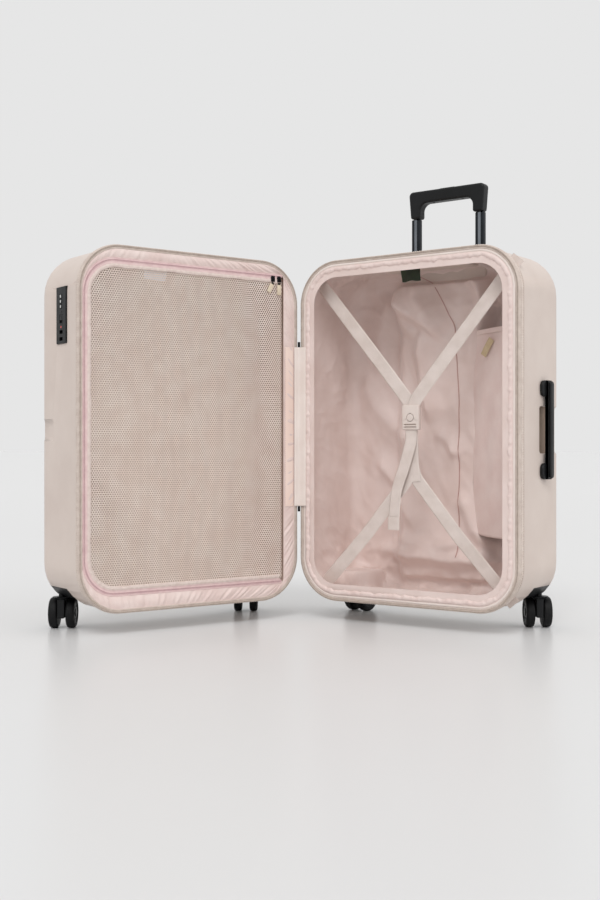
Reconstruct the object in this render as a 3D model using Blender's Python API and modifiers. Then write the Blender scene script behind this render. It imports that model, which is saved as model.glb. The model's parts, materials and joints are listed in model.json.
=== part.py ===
"""Hard shell suitcase on four twin-wheel casters, standing open like a book.

World axes: the back half of the case is square to them. Its opening faces -Y, its hinge edge
is at -X and +Z is up. Each half is drawn in its own frame: the opening plane is y = 0, +y goes
into the half, x runs across it and z is the height above the floor. The front half's frame is
turned about the hinge by OPEN_ANGLE. The origin ends up under the middle, on the floor.
"""

import math

import bmesh
import bpy
from mathutils import Matrix, Vector

# Overall sizes, in metres
CASE_WIDTH = 0.455
CASE_HEIGHT = 0.632
GROUND_CLEARANCE = 0.037
BACK_DEPTH = 0.174
FRONT_DEPTH = 0.162
OPEN_ANGLE = 107.0
CORNER_RADIUS = 0.080
EDGE_RADIUS = 0.024

# Walls, skins and clearances
GAP = 0.0003
SHELL_STEP = 0.004
SHELL_WALL = 0.003
LINING_SKIN = 0.0012
LINING_SPACE = 0.0015
WEB = 0.0012

# Rims, zips and expander
RIM_THICKNESS = 0.007
RIM_DEPTH = 0.0112
EXPANDER_ZIP_DEPTH = 0.009
EXPANDER_ZIP_STEP = 0.0012
EXPANSION = 0.040
SLEEVE_OVERLAP = 0.010
MOUTH_WIDTH = 0.024
MOUTH_Y = 0.0012

# Hinge
HINGE_OFFSET = 0.003
HINGE_TAPE_RADIUS = 0.0024
HINGE_LENGTH = 0.300
HINGE_MIDDLE_Z = 0.361
COVER_THICKNESS = 0.0012
BACK_COVER_THICKNESS = 0.0006
BACK_COVER_WIDTH = 0.013
FRONT_COVER_WIDTH = 0.022
MAIN_SLIDER_LENGTH = 0.010

# Divider door of the front half
DOOR_Y = 0.0038
DOOR_HINGE_INSET = 0.035
DOOR_LOCK_INSET = 0.0115
DOOR_TOP_INSET = 0.027
DOOR_BOTTOM_INSET = 0.034
DOOR_CORNER = 0.060
DOOR_SEWN_CORNER = 0.006
DOOR_GAP = 0.0005
SLIDER_SIZE = (0.008, 0.0042, 0.011)
SLIDER_PITCH = 0.014
SLIDER_FROM_HINGE = 0.007
TAB_SIZE = (0.009, 0.0012, 0.023)
TAB_DROP = 0.0009

# Lock, on the side away from the hinge
LOCK_SIZE = (0.020, 0.038, 0.098)
LOCK_PROUD = 0.0025
LOCK_Y = 0.071
LOCK_Z = 0.549
DIAL_RADIUS = 0.0085
DIAL_THICKNESS = 0.0062
DIAL_PITCH = 0.0086
DIAL_PROUD = 0.0008
LOCK_SLIDE_SIZE = (0.0024, 0.011, 0.009)
LOCK_SLIDE_TRAVEL = 0.005
DIAL_SIDES = 20
TOP_DIAL_ABOVE_MIDDLE = 0.032
SLIDE_BELOW_MIDDLE = 0.004
PULL_SOCKETS_BELOW_MIDDLE = (0.029, 0.041)
PULL_SOCKET_SIZE = (0.007, 0.012, 0.006)

# Trolley
TROLLEY_SPACING = 0.137
INNER_TUBE = (0.018, 0.011)
TUBE_WALL = 0.001
CHANNEL_HALF_WIDTH = 0.092
RECESS_HALF_WIDTH = 0.086
RECESS_DEPTH = 0.048
RECESS_BACK_TO_FRONT = 0.026
COLLAR_THICKNESS = 0.003
GRIP_WIDTH = 0.157
GRIP_BAR = (0.022, 0.024)
SOCKET_SIZE = (0.025, 0.020, 0.028)
STAGE_TRAVEL = 0.200
STAGE_OVERLAP = 0.100
REST_LIFT = 0.137
TUBE_FOOT_Z = 0.085

# Carry handles
HANDLE_LENGTH = 0.172
HANDLE_BAR = (0.008, 0.014)
HANDLE_LIFT = 0.005
LEG_LEFT_IN = 0.0006
SIDE_HANDLE_Z = 0.352
SIDE_HANDLE_Y = 0.108
MOUNT_LENGTH = 0.028
MOUNT_WIDTH = 0.030
MOUNT_THICKNESS = 0.0065
SIDE_SCOOP_LENGTH = 0.083
SIDE_SCOOP_DEPTH = 0.010
SIDE_SCOOP_Y = 0.086
TOP_HANDLE_Y = 0.097
TOP_RECESS_DEPTH = 0.012
FRONT_SCOOP_LENGTH = 0.040
FRONT_SCOOP_DEPTH = 0.006
FRONT_SCOOP_Y = 0.105

# Straps and buckle in the back half
STRAP_WIDTH = 0.025
STRAP_Y = 0.030
UPPER_ANCHOR = (0.199, 0.631)
LOWER_ANCHOR = (0.189, 0.066)
BUCKLE_SIZE = (0.030, 0.009, 0.045)
BUCKLE_MIDDLE_Z = 0.3755
STRAP_APEX_Z = 0.262
BUCKLE_BUTTON_RADIUS = 0.0064
BUCKLE_BUTTON_THICKNESS = 0.0035

# Side pocket of the back half
POCKET_LOW_Z = 0.163
POCKET_HIGH_Z = 0.535
POCKET_INNER_X = 0.078
POCKET_RIM_Y = 0.045

# Casters
WHEEL_RADIUS = 0.027
WHEEL_WIDTH = 0.0155
WHEEL_SPACING = 0.0305
AXLE_RADIUS = 0.004
TRAIL = 0.016
CASTER_SIDE_INSET = 0.031
CASTER_BACK_INSET = 0.032
CASTER_POCKET_RADIUS = 0.055
HOUSING_LOW_Z = 0.0578
HOUSING_THICKNESS = 0.0185
STEM_RADIUS = 0.005
FORK_WIDTH = 0.0135
# Heading of each caster's trail in its own half's frame, in degrees from +x
CASTER_HEADINGS = {
    "back_left": 86.5,
    "back_right": 126.5,
    "front_left": 53.5,
    "front_right": 53.5,
}

# Worked out from the sizes above
CASE_LOW = GROUND_CLEARANCE
CASE_HIGH = GROUND_CLEARANCE + CASE_HEIGHT
SHELL_LIP_BACK = GAP + RIM_DEPTH + GAP + EXPANDER_ZIP_DEPTH + GAP
SHELL_LIP_FRONT = GAP + RIM_DEPTH + GAP
SHELL_INNER = SHELL_STEP + SHELL_WALL
SLEEVE_INSET = SHELL_INNER + GAP
BACK_LINING_INSET = SLEEVE_INSET + WEB + GAP
FRONT_LINING_INSET = SHELL_INNER + GAP
MIDDLE_TUBE = tuple(side + 2 * (GAP + TUBE_WALL) for side in INNER_TUBE)
OUTER_TUBE = tuple(side + 2 * (GAP + TUBE_WALL) for side in MIDDLE_TUBE)
TUBE_Y = BACK_DEPTH - SHELL_WALL - GAP - OUTER_TUBE[1] / 2
RECESS_FLOOR = CASE_HIGH - SHELL_STEP - RECESS_DEPTH
SHELL_TOP = CASE_HIGH - SHELL_STEP
POCKET_TOP = HOUSING_LOW_Z + HOUSING_THICKNESS + GAP


# Helpers ---------------------------------------------------------------------------------


def clear_scene():
    for obj in list(bpy.data.objects):
        bpy.data.objects.remove(obj, do_unlink=True)


def new_collection(name):
    collection = bpy.data.collections.new(name)
    bpy.context.scene.collection.children.link(collection)
    return collection


def linear(channel):
    return channel / 12.92 if channel <= 0.04045 else ((channel + 0.055) / 1.055) ** 2.4


def material(name, hex_colour, roughness, metallic=0.0):
    made = bpy.data.materials.get(name)
    if made:
        return made
    made = bpy.data.materials.new(name)
    made.use_nodes = True
    shader = made.node_tree.nodes["Principled BSDF"]
    rgb = [linear(int(hex_colour[i : i + 2], 16) / 255) for i in (0, 2, 4)]
    shader.inputs["Base Color"].default_value = (*rgb, 1.0)
    shader.inputs["Roughness"].default_value = roughness
    shader.inputs["Metallic"].default_value = metallic
    return made


def shell_plastic():
    return material("shell_polycarbonate", "CFC4B9", 0.42)


def rim_tape():
    return material("rim_tape", "BDB0A2", 0.75)


def lining_fabric():
    return material("lining_fabric", "D9C3BC", 0.7)


def webbing():
    return material("webbing", "D3C8BB", 0.8)


def black_plastic():
    return material("black_plastic", "1B1C1E", 0.38)


def satin_black_metal():
    return material("satin_black_metal", "26282C", 0.3, 0.9)


def empty(name, parent=None, location=(0, 0, 0), turn_z=0.0):
    made = bpy.data.objects.new(name, None)
    PARTS.objects.link(made)
    made.parent = parent
    made.location = location
    made.rotation_euler = (0, 0, math.radians(turn_z))
    return made


def solid(name, bm, coat, parent, location=(0, 0, 0), turn_z=0.0):
    """A named mesh object from a bmesh drawn about its own origin."""
    mesh = bpy.data.meshes.new(name)
    bmesh.ops.recalc_face_normals(bm, faces=bm.faces)
    bm.to_mesh(mesh)
    bm.free()
    made = bpy.data.objects.new(name, mesh)
    PARTS.objects.link(made)
    made.data.materials.append(coat)
    made.parent = parent
    made.location = location
    made.rotation_euler = (0, 0, math.radians(turn_z))
    return made


def as_cutter(obj):
    PARTS.objects.unlink(obj)
    CUTTERS.objects.link(obj)
    obj.hide_render = True
    obj.display_type = "WIRE"
    return obj


def combine(obj, other, operation="DIFFERENCE"):
    modifier = obj.modifiers.new(f"{operation.lower()}_{other.name}", "BOOLEAN")
    modifier.operation = operation
    modifier.object = other
    return obj


def smooth(obj, angle=35.0):
    obj.data.shade_smooth()
    obj.data.set_sharp_from_angle(angle=math.radians(angle))
    return obj


def box_mesh(low, high, bevel=0.0, segments=2):
    """A box between two corners, with every edge rounded by bevel."""
    bm = bmesh.new()
    bmesh.ops.create_cube(bm, size=1.0)
    size = Vector(high) - Vector(low)
    middle = (Vector(high) + Vector(low)) / 2
    bmesh.ops.scale(bm, vec=size, verts=bm.verts)
    bmesh.ops.translate(bm, vec=middle, verts=bm.verts)
    if bevel:
        bmesh.ops.bevel(
            bm, geom=list(bm.edges), offset=bevel, segments=segments, affect="EDGES", profile=0.5
        )
    return bm


def rod_mesh(radius, low, high, axis="Z", sides=24, at=(0, 0, 0)):
    """A cylinder along an axis, from low to high, centred on the point at in the other two."""
    bm = bmesh.new()
    bmesh.ops.create_cone(
        bm, cap_ends=True, segments=sides, radius1=radius, radius2=radius, depth=high - low
    )
    bmesh.ops.translate(bm, vec=(0, 0, (low + high) / 2), verts=bm.verts)
    if axis == "X":
        bmesh.ops.rotate(bm, matrix=Matrix.Rotation(math.pi / 2, 3, "Y"), verts=bm.verts)
    if axis == "Y":
        bmesh.ops.rotate(bm, matrix=Matrix.Rotation(-math.pi / 2, 3, "X"), verts=bm.verts)
    bmesh.ops.translate(bm, vec=at, verts=bm.verts)
    return bm


def case_mesh(inset, near, far, edge_radius=0.0, corner_segments=8, edge_segments=4):
    """The outline of the case set in by inset, from y = near to y = far, with its far edge round."""
    half = CASE_WIDTH / 2 - inset
    bm = box_mesh((-half, near, CASE_LOW + inset), (half, far, CASE_HIGH - inset))
    along = [e for e in bm.edges if abs((e.verts[0].co - e.verts[1].co).y) > 1e-6]
    bmesh.ops.bevel(
        bm,
        geom=along,
        offset=CORNER_RADIUS - inset,
        segments=corner_segments,
        affect="EDGES",
        profile=0.5,
    )
    if edge_radius:
        back = [e for e in bm.edges if all(abs(v.co.y - far) < 1e-6 for v in e.verts)]
        bmesh.ops.bevel(
            bm, geom=back, offset=edge_radius, segments=edge_segments, affect="EDGES", profile=0.5
        )
    return bm


def rounded_outline(left, right, low, high, radii, steps=6):
    """Points round a rectangle, with a radius for each corner from lower left, anticlockwise."""
    corners = ((left, low, 180), (right, low, 270), (right, high, 0), (left, high, 90))
    points = []
    for (x, z, start), radius in zip(corners, radii):
        centre_x = x + radius if x == left else x - radius
        centre_z = z + radius if z == low else z - radius
        for step in range(steps + 1):
            angle = math.radians(start + 90 * step / steps)
            points.append(
                (centre_x + radius * math.cos(angle), centre_z + radius * math.sin(angle))
            )
    return points


def flat_plate(name, outlines, near, far, coat, parent, location=(0, 0, 0)):
    """A 2D curve in the xz plane, filled between its outlines, from y = near to y = far."""
    curve = bpy.data.curves.new(name, "CURVE")
    curve.dimensions = "2D"
    curve.fill_mode = "BOTH"
    curve.extrude = (far - near) / 2
    for outline in outlines:
        spline = curve.splines.new("POLY")
        spline.points.add(len(outline) - 1)
        spline.use_cyclic_u = True
        for point, (x, z) in zip(spline.points, outline):
            point.co = (x, z, 0, 1)
    made = bpy.data.objects.new(name, curve)
    PARTS.objects.link(made)
    curve.materials.append(coat)
    made.parent = parent
    made.location = Vector(location) + Vector((0, (near + far) / 2, 0))
    made.rotation_euler = (math.pi / 2, 0, 0)
    return made


def case_outline(inset, steps=8):
    half = CASE_WIDTH / 2 - inset
    radius = CORNER_RADIUS - inset
    return rounded_outline(
        -half, half, CASE_LOW + inset, CASE_HIGH - inset, [radius] * 4, steps
    )


def case_ring(name, inset, thickness, near, far, coat, parent):
    outlines = [case_outline(inset), case_outline(inset + thickness)]
    return flat_plate(name, outlines, near, far, coat, parent)


# Pockets: hollows pressed into a half from outside. Each is drawn larger by grow, so the same
# pocket shapes the shell's outside, its inside and both faces of the lining behind it.


def caster_pocket(name, side, depth, grow, parent):
    at = (side * (CASE_WIDTH / 2 - CASTER_SIDE_INSET), depth - CASTER_BACK_INSET, 0)
    bm = rod_mesh(CASTER_POCKET_RADIUS + grow, -0.05, POCKET_TOP + grow, sides=32, at=at)
    return as_cutter(solid(name, bm, black_plastic(), parent))


def box_pocket(name, low, high, grow, parent, bevel=0.004):
    low = [value - grow for value in low]
    high = [value + grow for value in high]
    bm = box_mesh(low, high, bevel + grow, 3)
    return as_cutter(solid(name, bm, black_plastic(), parent))


def back_pockets(name, grow, parent):
    outside = 0.03
    half = CASE_WIDTH / 2
    scoop_half = SIDE_SCOOP_LENGTH / 2
    shapes = [
        caster_pocket(f"{name}_caster_left", -1, BACK_DEPTH, grow, parent),
        caster_pocket(f"{name}_caster_right", 1, BACK_DEPTH, grow, parent),
        box_pocket(
            f"{name}_scoop",
            (half - SHELL_STEP - SIDE_SCOOP_DEPTH, SIDE_SCOOP_Y, SIDE_HANDLE_Z - scoop_half),
            (half + outside, BACK_DEPTH + outside, SIDE_HANDLE_Z + scoop_half),
            grow,
            parent,
            0.006,
        ),
        box_pocket(
            f"{name}_trolley_recess",
            (-RECESS_HALF_WIDTH, BACK_DEPTH - RECESS_BACK_TO_FRONT, RECESS_FLOOR),
            (RECESS_HALF_WIDTH, BACK_DEPTH + outside, CASE_HIGH + outside),
            grow,
            parent,
            0.002,
        ),
        box_pocket(
            f"{name}_top_handle_recess",
            (
                -HANDLE_LENGTH / 2 - 0.002,
                TOP_HANDLE_Y - MOUNT_WIDTH / 2 - 0.002,
                SHELL_TOP - TOP_RECESS_DEPTH,
            ),
            (
                HANDLE_LENGTH / 2 + 0.002,
                TOP_HANDLE_Y + MOUNT_WIDTH / 2 + 0.002,
                CASE_HIGH + outside,
            ),
            grow,
            parent,
            0.002,
        ),
    ]
    return shapes


def lock_low_x():
    """The lock's outer face in the front half's frame, where the lock is on the -x side."""
    return -CASE_WIDTH / 2 + SHELL_STEP - LOCK_PROUD


def front_pockets(name, grow, parent):
    outside = 0.03
    half = CASE_WIDTH / 2
    shapes = [
        caster_pocket(f"{name}_caster_left", 1, FRONT_DEPTH, grow, parent),
        caster_pocket(f"{name}_caster_right", -1, FRONT_DEPTH, grow, parent),
        box_pocket(
            f"{name}_scoop",
            (-half - outside, FRONT_SCOOP_Y, SIDE_HANDLE_Z - FRONT_SCOOP_LENGTH / 2),
            (
                -half + SHELL_STEP + FRONT_SCOOP_DEPTH,
                FRONT_DEPTH + outside,
                SIDE_HANDLE_Z + FRONT_SCOOP_LENGTH / 2,
            ),
            grow,
            parent,
            0.008,
        ),
        box_pocket(
            f"{name}_lock",
            (-half - outside, LOCK_Y - LOCK_SIZE[1] / 2 - GAP, LOCK_Z - LOCK_SIZE[2] / 2 - GAP),
            (
                lock_low_x() + LOCK_SIZE[0] + GAP,
                LOCK_Y + LOCK_SIZE[1] / 2 + GAP,
                LOCK_Z + LOCK_SIZE[2] / 2 + GAP,
            ),
            grow,
            parent,
            0.001,
        ),
    ]
    return shapes


def trolley_channel(name, grow, parent):
    low_y = TUBE_Y - OUTER_TUBE[1] / 2 - GAP
    return box_pocket(
        name,
        (-CHANNEL_HALF_WIDTH, low_y, -0.05),
        (CHANNEL_HALF_WIDTH, BACK_DEPTH + 0.05, CASE_HIGH + 0.05),
        grow,
        parent,
        0.006,
    )


def tub(name, inset, skin, lip, depth, back_space, pockets, coat, parent):
    """One open-mouthed skin: the case outline less its own inside, both shaped by the pockets."""
    edge = EDGE_RADIUS - back_space
    outer = solid(name, case_mesh(inset, lip, depth - back_space, edge), coat, parent)
    inside = case_mesh(inset + skin, lip - 0.05, depth - back_space - skin, edge - skin)
    void = as_cutter(solid(f"{name}_inside", inside, coat, parent))
    for pocket in pockets(f"{name}_outer", 0.0):
        combine(outer, pocket)
    for pocket in pockets(f"{name}_inner", skin):
        combine(void, pocket)
    return smooth(combine(outer, void))


# Shells, linings, rims and expander -----------------------------------------------------


def back_half(frame, rim_frame):
    shell = tub(
        "back_shell",
        SHELL_STEP,
        SHELL_WALL,
        SHELL_LIP_BACK,
        BACK_DEPTH,
        0.0,
        lambda name, grow: back_pockets(name, grow, frame),
        shell_plastic(),
        frame,
    )
    for side in (-1, 1):
        x = side * TROLLEY_SPACING / 2
        hole = box_mesh(
            (x - OUTER_TUBE[0] / 2 - GAP, TUBE_Y - OUTER_TUBE[1] / 2 - GAP, RECESS_FLOOR - 0.02),
            (x + OUTER_TUBE[0] / 2 + GAP, TUBE_Y + OUTER_TUBE[1] / 2 + GAP, RECESS_FLOOR + 0.01),
        )
        cutter = solid(f"tube_hole_{'left' if side < 0 else 'right'}", hole, shell_plastic(), frame)
        combine(shell, as_cutter(cutter))

    def lining_pockets(name, grow):
        shapes = back_pockets(name, grow + SHELL_WALL + LINING_SPACE, frame)
        return shapes + [trolley_channel(f"{name}_channel", grow, frame)]

    tub(
        "back_lining",
        BACK_LINING_INSET,
        LINING_SKIN,
        MOUTH_Y + WEB + GAP,
        BACK_DEPTH,
        SHELL_WALL + LINING_SPACE,
        lining_pockets,
        lining_fabric(),
        frame,
    )
    zip_near = GAP + RIM_DEPTH + GAP
    case_ring(
        "expander_zip",
        EXPANDER_ZIP_STEP,
        RIM_THICKNESS - EXPANDER_ZIP_STEP,
        zip_near,
        zip_near + EXPANDER_ZIP_DEPTH,
        rim_tape(),
        frame,
    )
    case_ring("back_rim", 0.0, RIM_THICKNESS, GAP, GAP + RIM_DEPTH, rim_tape(), rim_frame)
    sleeve_end = SHELL_LIP_BACK + EXPANSION + SLEEVE_OVERLAP
    gusset = solid(
        "expansion_gusset",
        case_mesh(SLEEVE_INSET, MOUTH_Y, sleeve_end),
        lining_fabric(),
        rim_frame,
    )
    mouth = case_mesh(SLEEVE_INSET + MOUTH_WIDTH, MOUTH_Y - 0.01, sleeve_end + 0.01)
    inner = case_mesh(SLEEVE_INSET + WEB, MOUTH_Y + WEB, sleeve_end + 0.02)
    combine(gusset, as_cutter(solid("gusset_mouth", mouth, lining_fabric(), rim_frame)))
    combine(gusset, as_cutter(solid("gusset_inside", inner, lining_fabric(), rim_frame)))
    smooth(gusset)


def front_half(frame):
    tub(
        "front_shell",
        SHELL_STEP,
        SHELL_WALL,
        SHELL_LIP_FRONT,
        FRONT_DEPTH,
        0.0,
        lambda name, grow: front_pockets(name, grow, frame),
        shell_plastic(),
        frame,
    )
    tub(
        "front_lining",
        FRONT_LINING_INSET,
        LINING_SKIN,
        DOOR_Y + WEB + GAP,
        FRONT_DEPTH,
        SHELL_WALL + LINING_SPACE,
        lambda name, grow: front_pockets(name, grow + SHELL_WALL + LINING_SPACE, frame),
        lining_fabric(),
        frame,
    )
    case_ring("front_rim", 0.0, RIM_THICKNESS, GAP, GAP + RIM_DEPTH, rim_tape(), frame)


# Hinge -----------------------------------------------------------------------------------


def hinge(frame, rim_frame):
    """A rolled fabric tape on the hinge line, with a cover strip beside it in each half."""
    low = HINGE_MIDDLE_Z - HINGE_LENGTH / 2
    high = HINGE_MIDDLE_Z + HINGE_LENGTH / 2
    line = empty("hinge_line", rim_frame, (-CASE_WIDTH / 2 - HINGE_OFFSET, 0, 0))
    tape = rod_mesh(HINGE_TAPE_RADIUS, low, high, sides=12)
    smooth(solid("hinge_tape", tape, rim_tape(), line))
    start = -CASE_WIDTH / 2 + SLEEVE_INSET + WEB
    cover = box_mesh(
        (start, MOUTH_Y - GAP - BACK_COVER_THICKNESS, low),
        (start + BACK_COVER_WIDTH, MOUTH_Y - GAP, high),
    )
    solid("hinge_cover_back", cover, lining_fabric(), rim_frame)
    start = CASE_WIDTH / 2 - SLEEVE_INSET - WEB
    cover = box_mesh(
        (start - FRONT_COVER_WIDTH, DOOR_Y - GAP - COVER_THICKNESS, low),
        (start, DOOR_Y - GAP, high),
    )
    solid("hinge_cover_front", cover, material("cover_leather", "DDBFB4", 0.55), frame)
    for name, at in (
        ("main_zip_slider_upper", high + GAP),
        ("main_zip_slider_lower", low - GAP - MAIN_SLIDER_LENGTH),
    ):
        slider = rod_mesh(HINGE_TAPE_RADIUS, 0, MAIN_SLIDER_LENGTH, sides=12)
        smooth(solid(name, slider, satin_black_metal(), line, (0, 0, at)))


# Divider door ----------------------------------------------------------------------------


def divider(frame):
    """A zipped mesh door in a fabric border, sewn along the edge nearest the case hinge."""
    left = -CASE_WIDTH / 2 + DOOR_LOCK_INSET
    right = CASE_WIDTH / 2 - DOOR_HINGE_INSET
    low = CASE_LOW + DOOR_BOTTOM_INSET
    high = CASE_HIGH - DOOR_TOP_INSET
    radii = (DOOR_CORNER, DOOR_SEWN_CORNER, DOOR_SEWN_CORNER, DOOR_CORNER)
    hole = rounded_outline(
        left - DOOR_GAP,
        right + DOOR_GAP,
        low - DOOR_GAP,
        high + DOOR_GAP,
        [radius + DOOR_GAP for radius in radii],
    )
    flat_plate(
        "divider_border",
        [case_outline(SLEEVE_INSET), hole],
        DOOR_Y,
        DOOR_Y + WEB,
        lining_fabric(),
        frame,
    )
    sewn = (right, DOOR_Y, 0)
    door = empty("divider_door_frame", frame, sewn)
    outline = [(x - right, z) for x, z in rounded_outline(left, right, low, high, radii)]
    flat_plate(
        "divider_door", [outline], 0, WEB, material("divider_mesh", "B9A797", 0.8), door
    )
    width, depth, height = SLIDER_SIZE
    for index, name in enumerate(("one", "two")):
        x = -SLIDER_FROM_HINGE - index * SLIDER_PITCH
        run = empty(f"divider_slider_{name}_frame", door, (x, -GAP, high - height))
        slider = box_mesh((-width / 2, -depth, 0), (width / 2, 0, height), 0.0012, 2)
        smooth(solid(f"divider_slider_{name}", slider, satin_black_metal(), run))
        hang = empty(f"divider_tab_{name}_frame", run, (0, -depth / 2, -TAB_DROP))
        tab = box_mesh(
            (-TAB_SIZE[0] / 2, -TAB_SIZE[1] / 2, -TAB_SIZE[2]),
            (TAB_SIZE[0] / 2, TAB_SIZE[1] / 2, 0),
            0.0004,
            1,
        )
        solid(f"divider_tab_{name}", tab, material("leather_tab", "D8CAB8", 0.6), hang)


# Lock ------------------------------------------------------------------------------------


def lock(frame):
    """A three-dial lock let into the side wall, with a slide and two sockets for the zip pulls."""
    outer_x = lock_low_x()
    body = solid(
        "lock_body",
        box_mesh(
            (outer_x, LOCK_Y - LOCK_SIZE[1] / 2, LOCK_Z - LOCK_SIZE[2] / 2),
            (outer_x + LOCK_SIZE[0], LOCK_Y + LOCK_SIZE[1] / 2, LOCK_Z + LOCK_SIZE[2] / 2),
            0.0009,
            1,
        ),
        black_plastic(),
        frame,
    )
    dial_x = outer_x - DIAL_PROUD + DIAL_RADIUS
    for index, name in enumerate(("upper", "middle", "lower")):
        z = LOCK_Z + TOP_DIAL_ABOVE_MIDDLE - index * DIAL_PITCH
        half = DIAL_THICKNESS / 2
        slot = rod_mesh(DIAL_RADIUS + 0.0004, z - half - GAP, z + half + GAP, sides=24)
        bmesh.ops.translate(slot, vec=(dial_x, LOCK_Y, 0), verts=slot.verts)
        combine(body, as_cutter(solid(f"dial_slot_{name}", slot, black_plastic(), frame)))
        dial = rod_mesh(DIAL_RADIUS, -half, half, sides=DIAL_SIDES)
        smooth(solid(f"lock_dial_{name}", dial, black_plastic(), frame, (dial_x, LOCK_Y, z)))
    slide_x, slide_y, slide_z = LOCK_SLIDE_SIZE
    middle = LOCK_Z - SLIDE_BELOW_MIDDLE
    recess = box_mesh(
        (outer_x - 0.01, LOCK_Y - slide_y / 2 - GAP, middle - slide_z / 2 - LOCK_SLIDE_TRAVEL - GAP),
        (outer_x + slide_x + GAP, LOCK_Y + slide_y / 2 + GAP, middle + slide_z / 2 + GAP),
    )
    combine(body, as_cutter(solid("lock_slide_recess", recess, black_plastic(), frame)))
    slide = box_mesh(
        (outer_x + GAP, -slide_y / 2, -slide_z / 2), (outer_x + slide_x, slide_y / 2, slide_z / 2)
    )
    solid("lock_slide", slide, black_plastic(), frame, (0, LOCK_Y, middle))
    depth, width, height = PULL_SOCKET_SIZE
    for name, below in zip(("upper", "lower"), PULL_SOCKETS_BELOW_MIDDLE):
        z = LOCK_Z - below
        socket = box_mesh(
            (outer_x - 0.01, LOCK_Y - width / 2, z - height / 2),
            (outer_x + depth, LOCK_Y + width / 2, z + height / 2),
        )
        combine(body, as_cutter(solid(f"pull_socket_{name}", socket, black_plastic(), frame)))


# Trolley ---------------------------------------------------------------------------------


def tube_outline(size, shrink, x=0.0):
    """A flat-oval tube section about the tube's middle."""
    across = size[0] / 2 - shrink
    through = size[1] / 2 - shrink
    radius = min(size) * 0.32 - shrink * 0.5
    return rounded_outline(x - across, x + across, -through, through, [radius] * 4, 3)


def standing_tube(name, size, wall, low, high, coat, parent):
    outlines = [tube_outline(size, 0.0)]
    if wall:
        outlines.append(tube_outline(size, wall))
    made = flat_plate(name, outlines, 0, high - low, coat, parent)
    made.rotation_euler = (0, 0, 0)
    made.location = (0, 0, (low + high) / 2)
    return made


def trolley(frame):
    """Two telescoping tubes with two moving stages, a grip and its release button."""
    socket_low = RECESS_FLOOR + GAP + COLLAR_THICKNESS + 0.002
    middle_high = socket_low - GAP
    middle_low = middle_high - STAGE_TRAVEL - STAGE_OVERLAP - 0.22
    inner_low = middle_low + 0.02
    middle_stage = empty("trolley_middle_frame", frame, (0, TUBE_Y, 0))
    inner_stage = empty("trolley_inner_frame", middle_stage, (0, 0, REST_LIFT))
    metal = satin_black_metal()
    for side, x in (("left", -TROLLEY_SPACING / 2), ("right", TROLLEY_SPACING / 2)):
        fixed = empty(f"trolley_outer_{side}_frame", frame, (x, TUBE_Y, 0))
        moving = empty(f"trolley_middle_{side}_frame", middle_stage, (x, 0, 0))
        top = empty(f"trolley_inner_{side}_frame", inner_stage, (x, 0, 0))
        standing_tube(
            f"trolley_outer_{side}", OUTER_TUBE, TUBE_WALL, TUBE_FOOT_Z, RECESS_FLOOR, metal, fixed
        )
        standing_tube(
            f"trolley_middle_{side}",
            MIDDLE_TUBE,
            TUBE_WALL,
            middle_low,
            middle_high,
            metal,
            moving,
        )
        standing_tube(
            f"trolley_inner_{side}", INNER_TUBE, 0.0, inner_low, socket_low - GAP, metal, top
        )
    collar_low = RECESS_FLOOR + GAP
    reach_x = TROLLEY_SPACING / 2 + OUTER_TUBE[0] / 2 + 0.003
    reach_y = OUTER_TUBE[1] / 2
    collar = solid(
        "trolley_collar",
        box_mesh(
            (-reach_x, TUBE_Y - reach_y, collar_low),
            (reach_x, TUBE_Y + reach_y, collar_low + COLLAR_THICKNESS),
            0.0006,
            1,
        ),
        black_plastic(),
        frame,
    )
    for side, x in (("left", -TROLLEY_SPACING / 2), ("right", TROLLEY_SPACING / 2)):
        hole = box_mesh(
            (x - MIDDLE_TUBE[0] / 2 - GAP, TUBE_Y - MIDDLE_TUBE[1] / 2 - GAP, collar_low - 0.01),
            (x + MIDDLE_TUBE[0] / 2 + GAP, TUBE_Y + MIDDLE_TUBE[1] / 2 + GAP, collar_low + 0.01),
        )
        cutter = solid(f"collar_hole_{side}", hole, black_plastic(), frame)
        combine(collar, as_cutter(cutter))
    bar_low = socket_low + SOCKET_SIZE[2]
    bar_high = bar_low + GRIP_BAR[1]
    grip = solid(
        "trolley_grip",
        box_mesh(
            (-GRIP_WIDTH / 2, -GRIP_BAR[0] / 2, bar_low),
            (GRIP_WIDTH / 2, GRIP_BAR[0] / 2, bar_high),
            0.006,
            3,
        ),
        black_plastic(),
        inner_stage,
    )
    for side, x in (("left", -TROLLEY_SPACING / 2), ("right", TROLLEY_SPACING / 2)):
        block = box_mesh(
            (x - SOCKET_SIZE[0] / 2 + 0.0005, -SOCKET_SIZE[1] / 2, socket_low),
            (x + SOCKET_SIZE[0] / 2 - 0.0005, SOCKET_SIZE[1] / 2, bar_low + 0.012),
            0.002,
            1,
        )
        cutter = as_cutter(solid(f"grip_socket_{side}", block, black_plastic(), inner_stage))
        combine(grip, cutter, "UNION")
    button_half = (0.016, 0.0055)
    well = box_mesh(
        (-button_half[0] - GAP, -button_half[1] - GAP, bar_high - 0.0055),
        (button_half[0] + GAP, button_half[1] + GAP, bar_high + 0.01),
    )
    combine(grip, as_cutter(solid("grip_button_well", well, black_plastic(), inner_stage)))
    smooth(grip)
    button = box_mesh(
        (-button_half[0], -button_half[1], -0.0025),
        (button_half[0], button_half[1], 0.0012),
        0.0008,
        1,
    )
    solid("trolley_button", button, black_plastic(), inner_stage, (0, 0, bar_high))


# Carry handles ---------------------------------------------------------------------------


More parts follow.
